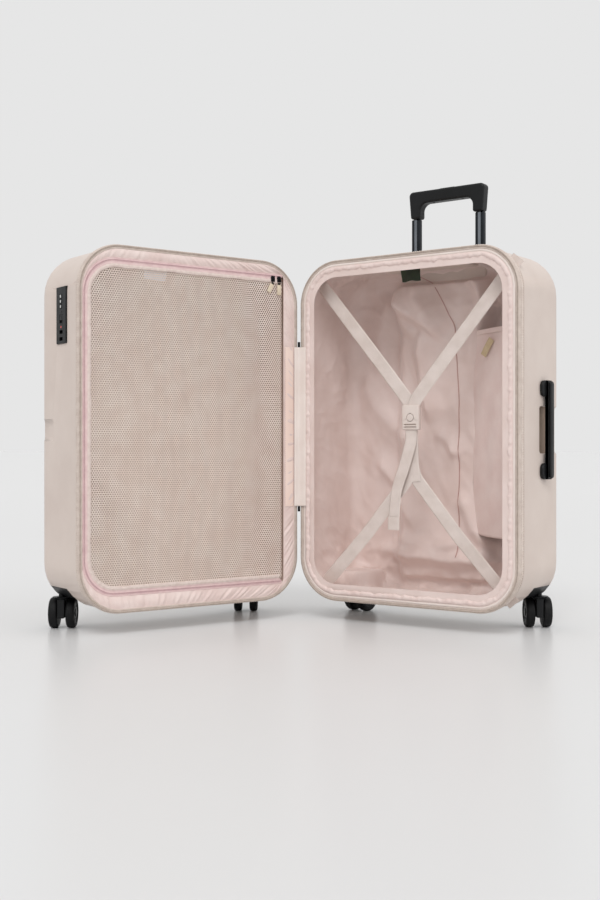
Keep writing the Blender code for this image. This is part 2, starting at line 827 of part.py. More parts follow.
def handle_slot(name, outward, parent, place):
    """The pair of slots that a handle bar's legs slide in."""
    half = HANDLE_LENGTH / 2 - MOUNT_LENGTH / 2
    cutters = []
    for end in (-1, 1):
        slot = box_mesh(
            (outward[0], -0.0035 - GAP, end * half - 0.005 - GAP),
            (outward[1], 0.0035 + GAP, end * half + 0.005 + GAP),
        )
        bmesh.ops.transform(slot, matrix=place, verts=slot.verts)
        made = solid(f"{name}_{'low' if end < 0 else 'high'}", slot, black_plastic(), parent)
        cutters.append(as_cutter(made))
    return cutters


def handle_bar(name, legs_low, bar_low, parent, place):
    """A straight grip with a leg at each end, drawn along z with x pointing out of the case."""
    half = HANDLE_LENGTH / 2
    bar = box_mesh(
        (bar_low, -HANDLE_BAR[1] / 2, -half),
        (bar_low + HANDLE_BAR[0], HANDLE_BAR[1] / 2, half),
        0.003,
        2,
    )
    bmesh.ops.transform(bar, matrix=place, verts=bar.verts)
    made = solid(name, bar, black_plastic(), parent)
    middle = half - MOUNT_LENGTH / 2
    for end in (-1, 1):
        leg = box_mesh(
            (legs_low, -0.0035, end * middle - 0.005),
            (bar_low + HANDLE_BAR[0] / 2, 0.0035, end * middle + 0.005),
        )
        bmesh.ops.transform(leg, matrix=place, verts=leg.verts)
        cutter = as_cutter(solid(f"{name}_leg_{end}", leg, black_plastic(), parent))
        combine(made, cutter, "UNION")
    return smooth(made)


def side_handle(frame):
    """On the side away from the hinge, over the finger scoop."""
    wall_x = CASE_WIDTH / 2 - SHELL_STEP + GAP
    middle = HANDLE_LENGTH / 2 - MOUNT_LENGTH / 2
    place = Matrix.Translation((0, SIDE_HANDLE_Y, SIDE_HANDLE_Z))
    slots = handle_slot("side_handle_slot", (wall_x + 0.0008, wall_x + 0.05), frame, place)
    for name, end, slot in (("lower", -1, slots[0]), ("upper", 1, slots[1])):
        z = SIDE_HANDLE_Z + end * middle
        mount = box_mesh(
            (wall_x, SIDE_HANDLE_Y - 0.021, z - MOUNT_LENGTH / 2),
            (wall_x + MOUNT_THICKNESS, SIDE_HANDLE_Y + 0.010, z + MOUNT_LENGTH / 2),
            0.0025,
            2,
        )
        made = solid(f"side_handle_mount_{name}", mount, black_plastic(), frame)
        smooth(combine(made, slot))
    bar_low = wall_x + MOUNT_THICKNESS + GAP
    handle_bar("side_handle_bar", bar_low - HANDLE_LIFT - LEG_LEFT_IN, bar_low, frame, place)


def top_handle(frame):
    """Let into a recess in the top, nearly flush when down."""
    floor = SHELL_TOP - TOP_RECESS_DEPTH + GAP
    turn = Matrix.Rotation(-math.pi / 2, 4, "Y")
    place = Matrix.Translation((0, TOP_HANDLE_Y, 0)) @ turn
    base = box_mesh(
        (-HANDLE_LENGTH / 2, TOP_HANDLE_Y - MOUNT_WIDTH / 2, floor),
        (HANDLE_LENGTH / 2, TOP_HANDLE_Y + MOUNT_WIDTH / 2, floor + MOUNT_THICKNESS),
    )
    made = solid("top_handle_base", base, black_plastic(), frame)
    span = HANDLE_LENGTH / 2 - MOUNT_LENGTH
    well = box_mesh(
        (-span, TOP_HANDLE_Y - MOUNT_WIDTH, floor + 0.0015),
        (span, TOP_HANDLE_Y + MOUNT_WIDTH, floor + 0.05),
    )
    combine(made, as_cutter(solid("top_handle_well", well, black_plastic(), frame)))
    for slot in handle_slot("top_handle_slot", (floor + 0.0008, floor + 0.05), frame, place):
        combine(made, slot)
    bar_low = floor + MOUNT_THICKNESS + GAP
    handle_bar("top_handle_bar", bar_low - HANDLE_LIFT - LEG_LEFT_IN, bar_low, frame, place)


# Straps, buckle and side pocket ------------------------------------------------------------


def offset_points(ends, width):
    """Both edges of a straight strap from ends[0] to ends[1]: the left edge, then the right."""
    start, end = (Vector(point) for point in ends)
    along = (end - start).normalized()
    across = Vector((-along.y, along.x)) * width / 2
    return (start + across, end + across), (start - across, end - across)


def meet_at_height(edge, z):
    """The x at which a strap's edge reaches height z."""
    start, end = edge
    return start.x + (end.x - start.x) * (z - start.y) / (end.y - start.y)


def strap_pair(name, anchor, apex_z, cut_z, neck_high, frame):
    """Two straps that run from mirrored anchors to one apex, cut square at cut_z.

    With neck_high, a web as wide as a strap runs on from the cut to that height.
    """
    (inner, outer) = offset_points(((-anchor[0], anchor[1]), (0, apex_z)), STRAP_WIDTH)
    if anchor[1] < apex_z:
        inner, outer = outer, inner
    slope = (inner[1].y - inner[0].y) / (inner[1].x - inner[0].x)
    crotch_z = inner[0].y - slope * inner[0].x
    shoulder = meet_at_height(outer, cut_z)
    left = [tuple(inner[0]), tuple(outer[0]), (shoulder, cut_z)]
    if neck_high is not None:
        half = min(-shoulder, STRAP_WIDTH / 2 - 0.001)
        left += [(-half, cut_z), (-half, neck_high)]
        if abs(shoulder + half) < 1e-6:
            left.pop(2)
    right = [(-x, z) for x, z in reversed(left)]
    outline = left + right + [(0, crotch_z)]
    return flat_plate(name, [outline], STRAP_Y - WEB / 2, STRAP_Y + WEB / 2, webbing(), frame)


def ribbon_outline(points, width):
    """The outline of a band of even width along a bent line, mitred at the bends."""
    left, right = [], []
    for index, point in enumerate(points):
        here = Vector(point)
        before = Vector(points[max(index - 1, 0)])
        after = Vector(points[min(index + 1, len(points) - 1)])
        into = (here - before).normalized() if index else (after - here).normalized()
        out = (after - here).normalized() if index < len(points) - 1 else into
        normal = Vector((-(into + out).y, (into + out).x)).normalized()
        reach = width / 2 / max(normal.dot(Vector((-into.y, into.x))), 0.5)
        left.append(tuple(here + normal * reach))
        right.append(tuple(here - normal * reach))
    return left + right[::-1]


def straps(frame):
    """Crossed packing straps that meet at a buckle in the middle of the back half."""
    high = BUCKLE_MIDDLE_Z + BUCKLE_SIZE[2] / 2
    low = BUCKLE_MIDDLE_Z - BUCKLE_SIZE[2] / 2
    strap_pair("upper_straps", UPPER_ANCHOR, high + 0.008, high + GAP, None, frame)
    strap_pair(
        "lower_straps", LOWER_ANCHOR, STRAP_APEX_Z, STRAP_APEX_Z + 0.012, low - GAP, frame
    )
    tail_far = STRAP_Y - WEB / 2 - GAP
    route = ((0, low - GAP), (0, 0.318), (-0.029, 0.245), (-0.035, 0.172))
    flat_plate(
        "strap_tail",
        [ribbon_outline(route, STRAP_WIDTH - 0.002)],
        tail_far - WEB,
        tail_far,
        webbing(),
        frame,
    )
    near = STRAP_Y - BUCKLE_SIZE[1] / 2
    body = solid(
        "buckle_body",
        box_mesh(
            (-BUCKLE_SIZE[0] / 2, near, low),
            (BUCKLE_SIZE[0] / 2, near + BUCKLE_SIZE[1], high),
            0.002,
            2,
        ),
        material("buckle_plastic", "D6CBBE", 0.4),
        frame,
    )
    button_y = near - 0.0008
    well = rod_mesh(
        BUCKLE_BUTTON_RADIUS + GAP,
        near - 0.01,
        button_y + BUCKLE_BUTTON_THICKNESS + 0.002,
        axis="Y",
        sides=20,
        at=(0, 0, BUCKLE_MIDDLE_Z),
    )
    combine(body, as_cutter(solid("buckle_well", well, webbing(), frame)))
    smooth(body)
    button = rod_mesh(BUCKLE_BUTTON_RADIUS, 0, BUCKLE_BUTTON_THICKNESS, axis="Y", sides=20)
    smooth(
        solid(
            "buckle_button",
            button,
            material("buckle_plastic", "D6CBBE", 0.4),
            frame,
            (0, button_y, BUCKLE_MIDDLE_Z),
        )
    )


def side_pocket(frame):
    """A fabric panel that closes off the corner beside the side handle, open at its top."""
    outer = Vector((CASE_WIDTH / 2 - BACK_LINING_INSET - LINING_SKIN - 0.0012, POCKET_RIM_Y))
    inner = Vector((POCKET_INNER_X, TUBE_Y - OUTER_TUBE[1] / 2 - GAP - LINING_SKIN - 0.0009))
    along = inner - outer
    panel = box_mesh((0, -WEB / 2, POCKET_LOW_Z), (along.length, WEB / 2, POCKET_HIGH_Z))
    turn = Matrix.Rotation(math.atan2(along.y, along.x), 4, "Z")
    place = Matrix.Translation((outer.x, outer.y, 0)) @ turn
    bmesh.ops.transform(panel, matrix=place, verts=panel.verts)
    solid("side_pocket", panel, lining_fabric(), frame)


# Casters ---------------------------------------------------------------------------------


def wheel(name, parent, x):
    """A turned wheel with a rounded tread, a dished face and a bore for the axle."""
    half = WHEEL_WIDTH / 2
    bore = AXLE_RADIUS + GAP
    profile = (
        (bore, half - 0.002),
        (0.016, half - 0.002),
        (0.018, half),
        (WHEEL_RADIUS - 0.003, half),
        (WHEEL_RADIUS, half - 0.004),
        (WHEEL_RADIUS, -half + 0.004),
        (WHEEL_RADIUS - 0.003, -half),
        (bore, -half),
    )
    mesh = bpy.data.meshes.new(name)
    count = len(profile)
    edges = [(index, (index + 1) % count) for index in range(count)]
    mesh.from_pydata([(radius, 0, z) for radius, z in profile], edges, [])
    made = bpy.data.objects.new(name, mesh)
    PARTS.objects.link(made)
    mesh.materials.append(black_plastic())
    turn = made.modifiers.new("turned", "SCREW")
    turn.steps = 20
    turn.render_steps = 20
    turn.use_merge_vertices = True
    turn.merge_threshold = 0.0001
    made.parent = parent
    made.location = (x, 0, WHEEL_RADIUS)
    made.rotation_euler = (0, math.pi / 2, 0)
    return made


def caster(name, side, depth, frame):
    """A housing in the corner pocket, a fork that swivels in it and two wheels on one axle."""
    at = (side * (CASE_WIDTH / 2 - CASTER_SIDE_INSET), depth - CASTER_BACK_INSET, 0)
    housing = solid(
        f"caster_housing_{name}",
        rod_mesh(
            CASTER_POCKET_RADIUS - GAP,
            HOUSING_LOW_Z,
            HOUSING_LOW_Z + HOUSING_THICKNESS,
            sides=32,
            at=at,
        ),
        black_plastic(),
        frame,
    )
    envelope = case_mesh(SHELL_STEP + GAP, -0.02, depth - GAP, EDGE_RADIUS - GAP)
    cutter = as_cutter(solid(f"housing_limit_{name}", envelope, black_plastic(), frame))
    combine(housing, cutter, "INTERSECT")
    stem_high = HOUSING_LOW_Z + 0.012
    bore = rod_mesh(STEM_RADIUS + GAP, 0, stem_high + 0.001, sides=16, at=at)
    combine(housing, as_cutter(solid(f"stem_bore_{name}", bore, black_plastic(), frame)))

    swivel = empty(f"caster_{name}_frame", frame, at, CASTER_HEADINGS[name] - 90)
    block_low = WHEEL_RADIUS - 0.008
    fork = solid(
        f"caster_fork_{name}",
        box_mesh(
            (-FORK_WIDTH / 2, -0.010, block_low),
            (FORK_WIDTH / 2, TRAIL + 0.008, HOUSING_LOW_Z - 0.0008),
            0.003,
            2,
        ),
        black_plastic(),
        swivel,
    )
    stem = rod_mesh(STEM_RADIUS, HOUSING_LOW_Z - 0.01, stem_high, sides=16)
    axle_reach = (WHEEL_SPACING + WHEEL_WIDTH) / 2
    axle = rod_mesh(
        AXLE_RADIUS, -axle_reach, axle_reach, axis="X", sides=12, at=(0, TRAIL, WHEEL_RADIUS)
    )
    for part, shape in (("stem", stem), ("axle", axle)):
        joined = as_cutter(solid(f"fork_{part}_{name}", shape, black_plastic(), swivel))
        combine(fork, joined, "UNION")
    smooth(fork)
    hub = empty(f"caster_{name}_axle", swivel, (0, TRAIL, 0))
    wheel(f"wheel_{name}_a", hub, WHEEL_SPACING / 2)
    other = wheel(f"wheel_{name}_b", hub, -WHEEL_SPACING / 2)
    other.rotation_euler = (0, -math.pi / 2, 0)


# Assembly --------------------------------------------------------------------------------


def stand_on_origin(root):
    """Puts the middle of the whole object's bounding box over the origin, and its foot on z = 0."""
    bpy.context.view_layer.update()
    graph = bpy.context.evaluated_depsgraph_get()
    points = []
    for obj in PARTS.objects:
        if obj.type == "EMPTY":
            continue
        shape = obj.evaluated_get(graph)
        points += [shape.matrix_world @ vertex.co for vertex in shape.to_mesh().vertices]
        shape.to_mesh_clear()
    low = [min(point[axis] for point in points) for axis in range(3)]
    high = [max(point[axis] for point in points) for axis in range(3)]
    root.location = (-(low[0] + high[0]) / 2, -(low[1] + high[1]) / 2, -low[2])


clear_scene()
PARTS = new_collection("suitcase")
CUTTERS = new_collection("cutters")
root = empty("suitcase_root")
back = empty("back_case_frame", root)
rims = empty("rim_frame", back)
hinge_axis = empty("case_hinge", rims, (-CASE_WIDTH / 2 - HINGE_OFFSET, 0, 0), -OPEN_ANGLE)
front = empty("front_case_frame", hinge_axis, (CASE_WIDTH / 2 + HINGE_OFFSET, 0, 0), 180)
back_half(back, rims)
front_half(front)
hinge(front, rims)
divider(front)
lock(front)
trolley(back)
side_handle(back)
top_handle(back)
straps(back)
side_pocket(back)
caster("back_left", -1, BACK_DEPTH, back)
caster("back_right", 1, BACK_DEPTH, back)
caster("front_left", 1, FRONT_DEPTH, front)
caster("front_right", -1, FRONT_DEPTH, front)
stand_on_origin(root)
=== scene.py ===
import json
import math

import bpy
import numpy as np
from mathutils import Matrix, Vector, noise


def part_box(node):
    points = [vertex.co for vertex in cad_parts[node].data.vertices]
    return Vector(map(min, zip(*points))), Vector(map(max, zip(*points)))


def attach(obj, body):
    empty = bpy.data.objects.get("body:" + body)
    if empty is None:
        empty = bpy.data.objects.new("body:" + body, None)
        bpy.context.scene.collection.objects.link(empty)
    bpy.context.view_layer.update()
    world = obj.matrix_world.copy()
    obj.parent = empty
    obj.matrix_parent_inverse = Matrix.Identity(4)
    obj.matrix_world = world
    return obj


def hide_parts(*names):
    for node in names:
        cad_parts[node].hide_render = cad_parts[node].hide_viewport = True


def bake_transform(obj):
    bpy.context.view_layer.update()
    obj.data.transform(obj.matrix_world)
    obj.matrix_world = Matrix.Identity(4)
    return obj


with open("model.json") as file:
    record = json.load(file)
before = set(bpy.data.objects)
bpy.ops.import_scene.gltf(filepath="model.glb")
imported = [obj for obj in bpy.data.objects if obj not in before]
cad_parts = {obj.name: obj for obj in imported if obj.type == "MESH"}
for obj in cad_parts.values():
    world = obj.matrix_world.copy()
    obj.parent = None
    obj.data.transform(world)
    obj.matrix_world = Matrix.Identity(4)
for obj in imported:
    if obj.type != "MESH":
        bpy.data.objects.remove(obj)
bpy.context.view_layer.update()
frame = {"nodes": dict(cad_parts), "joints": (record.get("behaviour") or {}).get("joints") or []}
joints = {joint["name"]: joint for joint in frame["joints"]}


# The two halves.
# The case stands open like a book. Everything sewn or moulded into one half is laid out in
# that half's own directions: x across the mouth, y into the half, z up.

rim_low, rim_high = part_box("back_rim")
case_width = rim_high.x - rim_low.x
case_low = rim_low.z
case_high = rim_high.z
hinge_line = Vector(joints["case_hinge"]["pos_m"])
open_angle = math.radians(joints["case_hinge"]["range_deg"][0])
half_width = case_width / 2
case_corner_radius = 0.080
front_depth = 0.162
hinge_gap = rim_low.x - hinge_line.x
back_half = Matrix.Translation((rim_low.x + half_width, hinge_line.y, 0))
front_half = (
    Matrix.Translation(hinge_line)
    @ Matrix.Rotation(open_angle + math.pi, 4, "Z")
    @ Matrix.Translation((-half_width - hinge_gap, 0, 0))
)


# Studio: a pale seamless floor and room, even soft daylight, and the camera.
# The light comes from all round, with a broad soft key from high in front, a little to the
# left, so that the open halves shade softly towards their far corners.


def linear_colour(hex_colour):
    channels = [int(hex_colour[at : at + 2], 16) / 255 for at in (0, 2, 4)]
    return [
        c / 12.92 if c <= 0.04045 else ((c + 0.055) / 1.055) ** 2.4 for c in channels
    ] + [1.0]


def add_node(material, kind, settings=None, links=None):
    """A node of this kind, with values for its sockets or properties and links into it."""
    made = material.node_tree.nodes.new(kind)
    for key, value in (settings or {}).items():
        if isinstance(key, int) or key in made.inputs:
            made.inputs[key].default_value = value
        else:
            setattr(made, key, value)
    for key, source in (links or {}).items():
        material.node_tree.links.new(source, made.inputs[key])
    return made


def new_material(name, settings):
    material = bpy.data.materials.new(name)
    material.use_nodes = True
    material.node_tree.nodes.clear()
    shader = add_node(material, "ShaderNodeBsdfPrincipled", settings)
    add_node(material, "ShaderNodeOutputMaterial", links={"Surface": shader.outputs[0]})
    return material, shader


scene = bpy.context.scene
scene.view_settings.view_transform = "Standard"
world = bpy.data.worlds.new("pale_room")
scene.world = world
world.use_nodes = True
room_light = world.node_tree.nodes["Background"]
room_light.inputs["Color"].default_value = linear_colour("E6E6E6")
room_light.inputs["Strength"].default_value = 1.0

view_turn = math.radians(36.5)
for name, turn, lift, strength, spread in (
    ("key_light", -8, 48, 1.02, 24),
    ("fill_light", 62, 30, 0.38, 60),
):
    light = bpy.data.lights.new(name, "SUN")
    light.energy = strength
    light.angle = math.radians(spread)
    lamp = bpy.data.objects.new(name, light)
    scene.collection.objects.link(lamp)
    turn, lift = math.radians(turn) + view_turn, math.radians(lift)
    toward = Vector(
        (math.sin(turn) * math.cos(lift), -math.cos(turn) * math.cos(lift), math.sin(lift))
    )
    lamp.rotation_euler = toward.to_track_quat("Z", "Y").to_euler()

view_distance = 2.33
view_height = 0.317
view_ahead = Vector((-math.sin(view_turn), math.cos(view_turn), 0))
view_right = Vector((math.cos(view_turn), math.sin(view_turn), 0))
camera_data = bpy.data.cameras.new("camera")
camera_data.sensor_width = 36
camera_data.lens = 49.2
camera = bpy.data.objects.new("camera", camera_data)
scene.collection.objects.link(camera)
camera.location = (
    Vector((hinge_line.x, hinge_line.y, view_height))
    - view_ahead * view_distance
    + view_right * 0.002
)
camera.rotation_euler = (math.pi / 2, 0, view_turn)
scene.camera = camera

bpy.ops.object.select_all(action="DESELECT")
bpy.ops.mesh.primitive_plane_add(size=400, location=(0, 0, 0))
floor = bpy.context.object
floor.name = "studio_floor"
floor_finish, _ = new_material(
    "gloss_white_floor",
    {
        "Base Color": linear_colour("DEDEDE"),
        "Roughness": 0.26,
        "IOR": 1.18,
    },
)
floor.data.materials.append(floor_finish)


# Moulded polycarbonate shells, pressed over a tool with a fine leather grain.
# A dyed-through beige plastic: a soft even gloss broken by grain, a little lighter where the
# rounded corners catch the light.


def solid_coordinates(material):
    return add_node(material, "ShaderNodeTexCoord").outputs["Object"]


def grain(material, coordinates, size_mm, height_mm, detail=3.0, strength=1.0, under=None):
    """A bump of soft random grain of this size, over the bump given by under."""
    pattern = add_node(
        material,
        "ShaderNodeTexNoise",
        {"Scale": 1000 / size_mm, "Detail": detail, "Roughness": 0.55},
        {"Vector": coordinates},
    )
    links = {"Height": pattern.outputs[0]}
    if under is not None:
        links["Normal"] = under
    return add_node(
        material, "ShaderNodeBump", {"Strength": strength, "Distance": height_mm / 1000}, links
    ).outputs[0]


def two_tone(material, coordinates, size_mm, first, second, contrast=0.3):
    """A colour that drifts between two shades in patches of this size."""
    pattern = add_node(
        material,
        "ShaderNodeTexNoise",
        {"Scale": 1000 / size_mm, "Detail": 3.0},
        {"Vector": coordinates},
    )
    ramp = add_node(material, "ShaderNodeValToRGB", links={"Fac": pattern.outputs[0]})
    ramp.color_ramp.elements[0].position = 0.5 - contrast / 2
    ramp.color_ramp.elements[1].position = 0.5 + contrast / 2
    ramp.color_ramp.elements[0].color = linear_colour(first)
    ramp.color_ramp.elements[1].color = linear_colour(second)
    return ramp.outputs[0]


def varied_roughness(material, coordinates, size_mm, low, high):
    pattern = add_node(
        material,
        "ShaderNodeTexNoise",
        {"Scale": 1000 / size_mm, "Detail": 4.0},
        {"Vector": coordinates},
    )
    return add_node(
        material,
        "ShaderNodeMapRange",
        {"From Min": 0.3, "From Max": 0.7, "To Min": low, "To Max": high},
        {"Value": pattern.outputs[0]},
    ).outputs[0]


def plain_finish(name, settings, tones, tone_mm, rough, grains):
    """A material from two shades, a range of roughness and layers of (size, height) grain."""
    material, shader = new_material(name, settings)
    place = solid_coordinates(material)
    links = material.node_tree.links
    links.new(two_tone(material, place, tone_mm, *tones), shader.inputs["Base Color"])
    links.new(varied_roughness(material, place, 14, *rough), shader.inputs["Roughness"])
    bump = None
    for size_mm, height_mm in grains:
        bump = grain(material, place, size_mm, height_mm, under=bump)
    if bump is not None:
        links.new(bump, shader.inputs["Normal"])
    return material


def select_only(piece):
    bpy.ops.object.select_all(action="DESELECT")
    piece.select_set(True)
    bpy.context.view_layer.objects.active = piece


def apply_modifier(piece, name, kind, settings):
    modifier = piece.modifiers.new(name, kind)
    for key, value in settings.items():
        setattr(modifier, key, value)
    select_only(piece)
    bpy.ops.object.modifier_apply(modifier=modifier.name)


def skin_of(node, name, body, material, round_mm=0.0, smooth_degrees=30.0):
    """A merged copy of a CAD node with softened edges, which stands in its place."""
    piece = frame["nodes"][node].copy()
    piece.data = piece.data.copy()
    for key in list(piece.keys()):
        del piece[key]
    piece.name = name
    piece.parent = None
    scene.collection.objects.link(piece)
    select_only(piece)
    bpy.ops.object.mode_set(mode="EDIT")
    bpy.ops.mesh.select_all(action="SELECT")
    bpy.ops.mesh.remove_doubles(threshold=0.00002)
    if round_mm:
        bpy.ops.mesh.dissolve_limited(angle_limit=math.radians(0.5))
    bpy.ops.object.mode_set(mode="OBJECT")
    if round_mm:
        apply_modifier(
            piece,
            "softened_edges",
            "BEVEL",
            {
                "width": round_mm / 1000,
                "segments": 2,
                "limit_method": "ANGLE",
                "angle_limit": math.radians(38),
                "use_clamp_overlap": True,
            },
        )
    select_only(piece)
    bpy.ops.object.shade_smooth_by_angle(angle=math.radians(smooth_degrees))
    apply_modifier(
        piece,
        "flat_walls",
        "WEIGHTED_NORMAL",
        {"mode": "FACE_AREA", "weight": 100, "keep_sharp": True},
    )
    piece.data.materials.clear()
    piece.data.materials.append(material)
    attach(piece, body)
    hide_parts(node)
    return piece


polycarbonate = plain_finish(
    "grained_beige_polycarbonate",
    {"IOR": 1.585, "Specular IOR Level": 0.35},
    ("D3C4BB", "D9CBC2"),
    90,
    (0.40, 0.50),
    ((1.4, 0.035), (0.7, 0.02)),
)
for side in ("back", "front"):
    skin_of(
        f"{side}_shell",
        f"shell_{side}",
        f"{side}_case",
        polycarbonate,
    )


# Rims: woven tape folded over the edge of each half, with the main zip's coil along it.
# Polyester tape in brown beige, a row of moulded coil teeth and two rows of lock stitch.


def outline(left, right, low, high, radii, counts):
    """Points, inward directions and lengths along a rounded rectangle in x and z."""
    across, upright, corner = counts
    corners = ((left, low, 180), (right, low, 270), (right, high, 0), (left, high, 90))
    centres = [
        (x + r if x == left else x - r, z + r if z == low else z - r, start, r)
        for (x, z, start), r in zip(corners, radii)
    ]
    points, inward = [], []
    for index, (x, z, start, r) in enumerate(centres):
        for step in range(corner):
            angle = math.radians(start + 90 * step / corner)
            points.append((x + r * math.cos(angle), z + r * math.sin(angle)))
            inward.append((-math.cos(angle), -math.sin(angle)))
        angle = math.radians(start + 90)
        out = np.array((math.cos(angle), math.sin(angle)))
        next_x, next_z, _, next_r = centres[(index + 1) % 4]
        begin = np.array((x, z)) + r * out
        end = np.array((next_x, next_z)) + next_r * out
        steps = across if index % 2 == 0 else upright
        for step in range(steps):
            points.append(tuple(begin + (end - begin) * step / steps))
            inward.append(tuple(-out))
    points, inward = np.array(points), np.array(inward)
    spans = np.linalg.norm(np.roll(points, -1, axis=0) - points, axis=1)
    return points, inward, np.concatenate(([0], np.cumsum(spans)[:-1])), spans.sum()


def case_line(inset, counts):
    return outline(
        -half_width + inset,
        half_width - inset,
        case_low + inset,
        case_high - inset,
        [max(case_corner_radius - inset, 0.004)] * 4,
        counts,
    )


def rail(line, inward_m, y):
    """A line's points moved inward, at depth y, as x, y, z. Both moves may vary along it."""
    points, inward = line[0], line[1]
    moved = points + inward * np.broadcast_to(inward_m, (len(points),))[:, None]
    depth = np.broadcast_to(y, (len(points),))
    return np.column_stack((moved[:, 0], depth, moved[:, 1]))


def loft(name, rails, half, material, closed=True, body=None, flip=False):
    """A smooth skin over the rails. Its UV map is in metres along and across."""
    rows = np.stack(rails)
    count, length = rows.shape[:2]
    along = np.linalg.norm(np.diff(rows, axis=1, append=rows[:, :1]), axis=2).mean(axis=0)
    u = np.concatenate(([0], np.cumsum(along)))
    across = np.linalg.norm(np.diff(rows, axis=0), axis=2).mean(axis=1)
    v = np.concatenate(([0], np.cumsum(across)))
    if closed:
        faces = [
            (
                r * length + i,
                r * length + (i + 1) % length,
                (r + 1) * length + (i + 1) % length,
                (r + 1) * length + i,
            )
            for r in range(count - 1)
            for i in range(length)
        ]
        cells = [(r, i) for r in range(count - 1) for i in range(length)]
    else:
        faces = [
            (r * length + i, r * length + i + 1, (r + 1) * length + i + 1, (r + 1) * length + i)
            for r in range(count - 1)
            for i in range(length - 1)
        ]
        cells = [(r, i) for r in range(count - 1) for i in range(length - 1)]
    corners = [
        ((u[i], v[r]), (u[i + 1], v[r]), (u[i + 1], v[r + 1]), (u[i], v[r + 1])) for r, i in cells
    ]
    if flip:
        faces = [face[::-1] for face in faces]
        corners = [corner[::-1] for corner in corners]
    mesh = bpy.data.meshes.new(name)
    mesh.from_pydata(rows.reshape(-1, 3).tolist(), [], faces)
    mesh.transform(half)
    layer = mesh.uv_layers.new(name="UVMap")
    layer.data.foreach_set("uv", np.array(corners, np.float32).ravel())
    mesh.polygons.foreach_set("use_smooth", [True] * len(faces))
    mesh.materials.append(material)
    piece = bpy.data.objects.new(name, mesh)
    scene.collection.objects.link(piece)
    if body:
        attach(piece, body)
    return piece


def cloth_coordinates(material):
    return add_node(material, "ShaderNodeUVMap", {"uv_map": "UVMap"}).outputs[0]


def ribs(material, coordinates, pitch_mm, height_mm, direction, under=None):
    """A bump of even ridges across the cloth's own u or v direction, this far apart."""
    pattern = add_node(
        material,
        "ShaderNodeTexWave",
        {
            "wave_type": "BANDS",
            "bands_direction": direction,
            "wave_profile": "SIN",
            "Scale": 1000 / pitch_mm / (20 / (2 * math.pi)),
        },
        {"Vector": coordinates},
    )
    links = {"Height": pattern.outputs[1]}
    if under is not None:
        links["Normal"] = under
    return add_node(
        material, "ShaderNodeBump", {"Strength": 1.0, "Distance": height_mm / 1000}, links
    ).outputs[0]


def woven(name, settings, tones, tone_mm, rough, weave_mm, weave_height_mm, grain_mm=None):
    """A cloth with threads along u and v, drawn coarse enough to show."""
    material, shader = new_material(name, settings)
    links = material.node_tree.links
    place = solid_coordinates(material)
    flat = cloth_coordinates(material)
    links.new(two_tone(material, place, tone_mm, *tones), shader.inputs["Base Color"])
    links.new(varied_roughness(material, place, 20, *rough), shader.inputs["Roughness"])
    bump = ribs(material, flat, weave_mm[0], weave_height_mm, "X")
    bump = ribs(material, flat, weave_mm[1], weave_height_mm, "Y", under=bump)
    if grain_mm:
        bump = grain(material, place, grain_mm[0], grain_mm[1], under=bump)
    links.new(bump, shader.inputs["Normal"])
    return material


rim_tape = woven(
    "woven_zip_tape_brown_beige",
    {"Sheen Weight": 0.15, "Specular IOR Level": 0.3},
    ("C6B6AC", "D3C5BB"),
    12,
    (0.6, 0.75),
    (1.6, 1.6),
    0.08,
)
pale_tape = woven(
    "woven_binding_pale_beige",
    {"Sheen Weight": 0.15, "Specular IOR Level": 0.3},
    ("DACCC3", "E2D6CD"),
    12,
    (0.6, 0.75),
    (1.4, 1.4),
    0.06,
)
coil_plastic = plain_finish(
    "moulded_polyester_coil",
    {"Specular IOR Level": 0.4},
    ("A99A8E", "B9ABA0"),
    6,
    (0.35, 0.5),
    ((0.8, 0.02),),
)
ring_counts = (190, 290, 44)


def studs(name, centres, directions, size, half, material, body):
    """One small domed stud per centre, turned along its direction: coil teeth or stitches."""
    length, depth, width = size
    toward_mouth = np.array((0.0, -1.0, 0.0))
    shape = np.array(
        [
            (-0.5, 0, -0.35),
            (-0.5, 0, 0.35),
            (0.5, 0, 0.35),
            (0.5, 0, -0.35),
            (-0.28, 1, 0),
            (0.28, 1, 0),
            (-0.32, 0.6, -0.5),
            (-0.32, 0.6, 0.5),
            (0.32, 0.6, 0.5),
            (0.32, 0.6, -0.5),
        ]
    )
    quads = (
        (0, 1, 7, 6),
        (1, 2, 8, 7),
        (2, 3, 9, 8),
        (3, 0, 6, 9),
        (6, 7, 4),
        (7, 8, 5, 4),
        (8, 9, 5),
        (9, 6, 4, 5),
        (3, 2, 1, 0),
    )
    vertices, faces = [], []
    for centre, along in zip(centres, directions):
        along = np.array(along) / np.linalg.norm(along)
        up = toward_mouth - along * toward_mouth.dot(along)
        up /= np.linalg.norm(up)
        across = np.cross(along, up)
        start = len(vertices)
        for a, h, w in shape:
            vertices.append(centre + along * a * length + up * h * depth + across * w * width)
        faces += [tuple(start + i for i in quad) for quad in quads]
    mesh = bpy.data.meshes.new(name)
    mesh.from_pydata([tuple(v) for v in vertices], [], faces)
    mesh.transform(half)
    mesh.materials.append(material)
    piece = bpy.data.objects.new(name, mesh)
    scene.collection.objects.link(piece)
    select_only(piece)
    bpy.ops.object.mode_set(mode="EDIT")
    bpy.ops.mesh.select_all(action="SELECT")
    bpy.ops.mesh.normals_make_consistent(inside=False)
    bpy.ops.object.mode_set(mode="OBJECT")
    bpy.ops.object.shade_smooth_by_angle(angle=math.radians(50))
    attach(piece, body)
    return piece


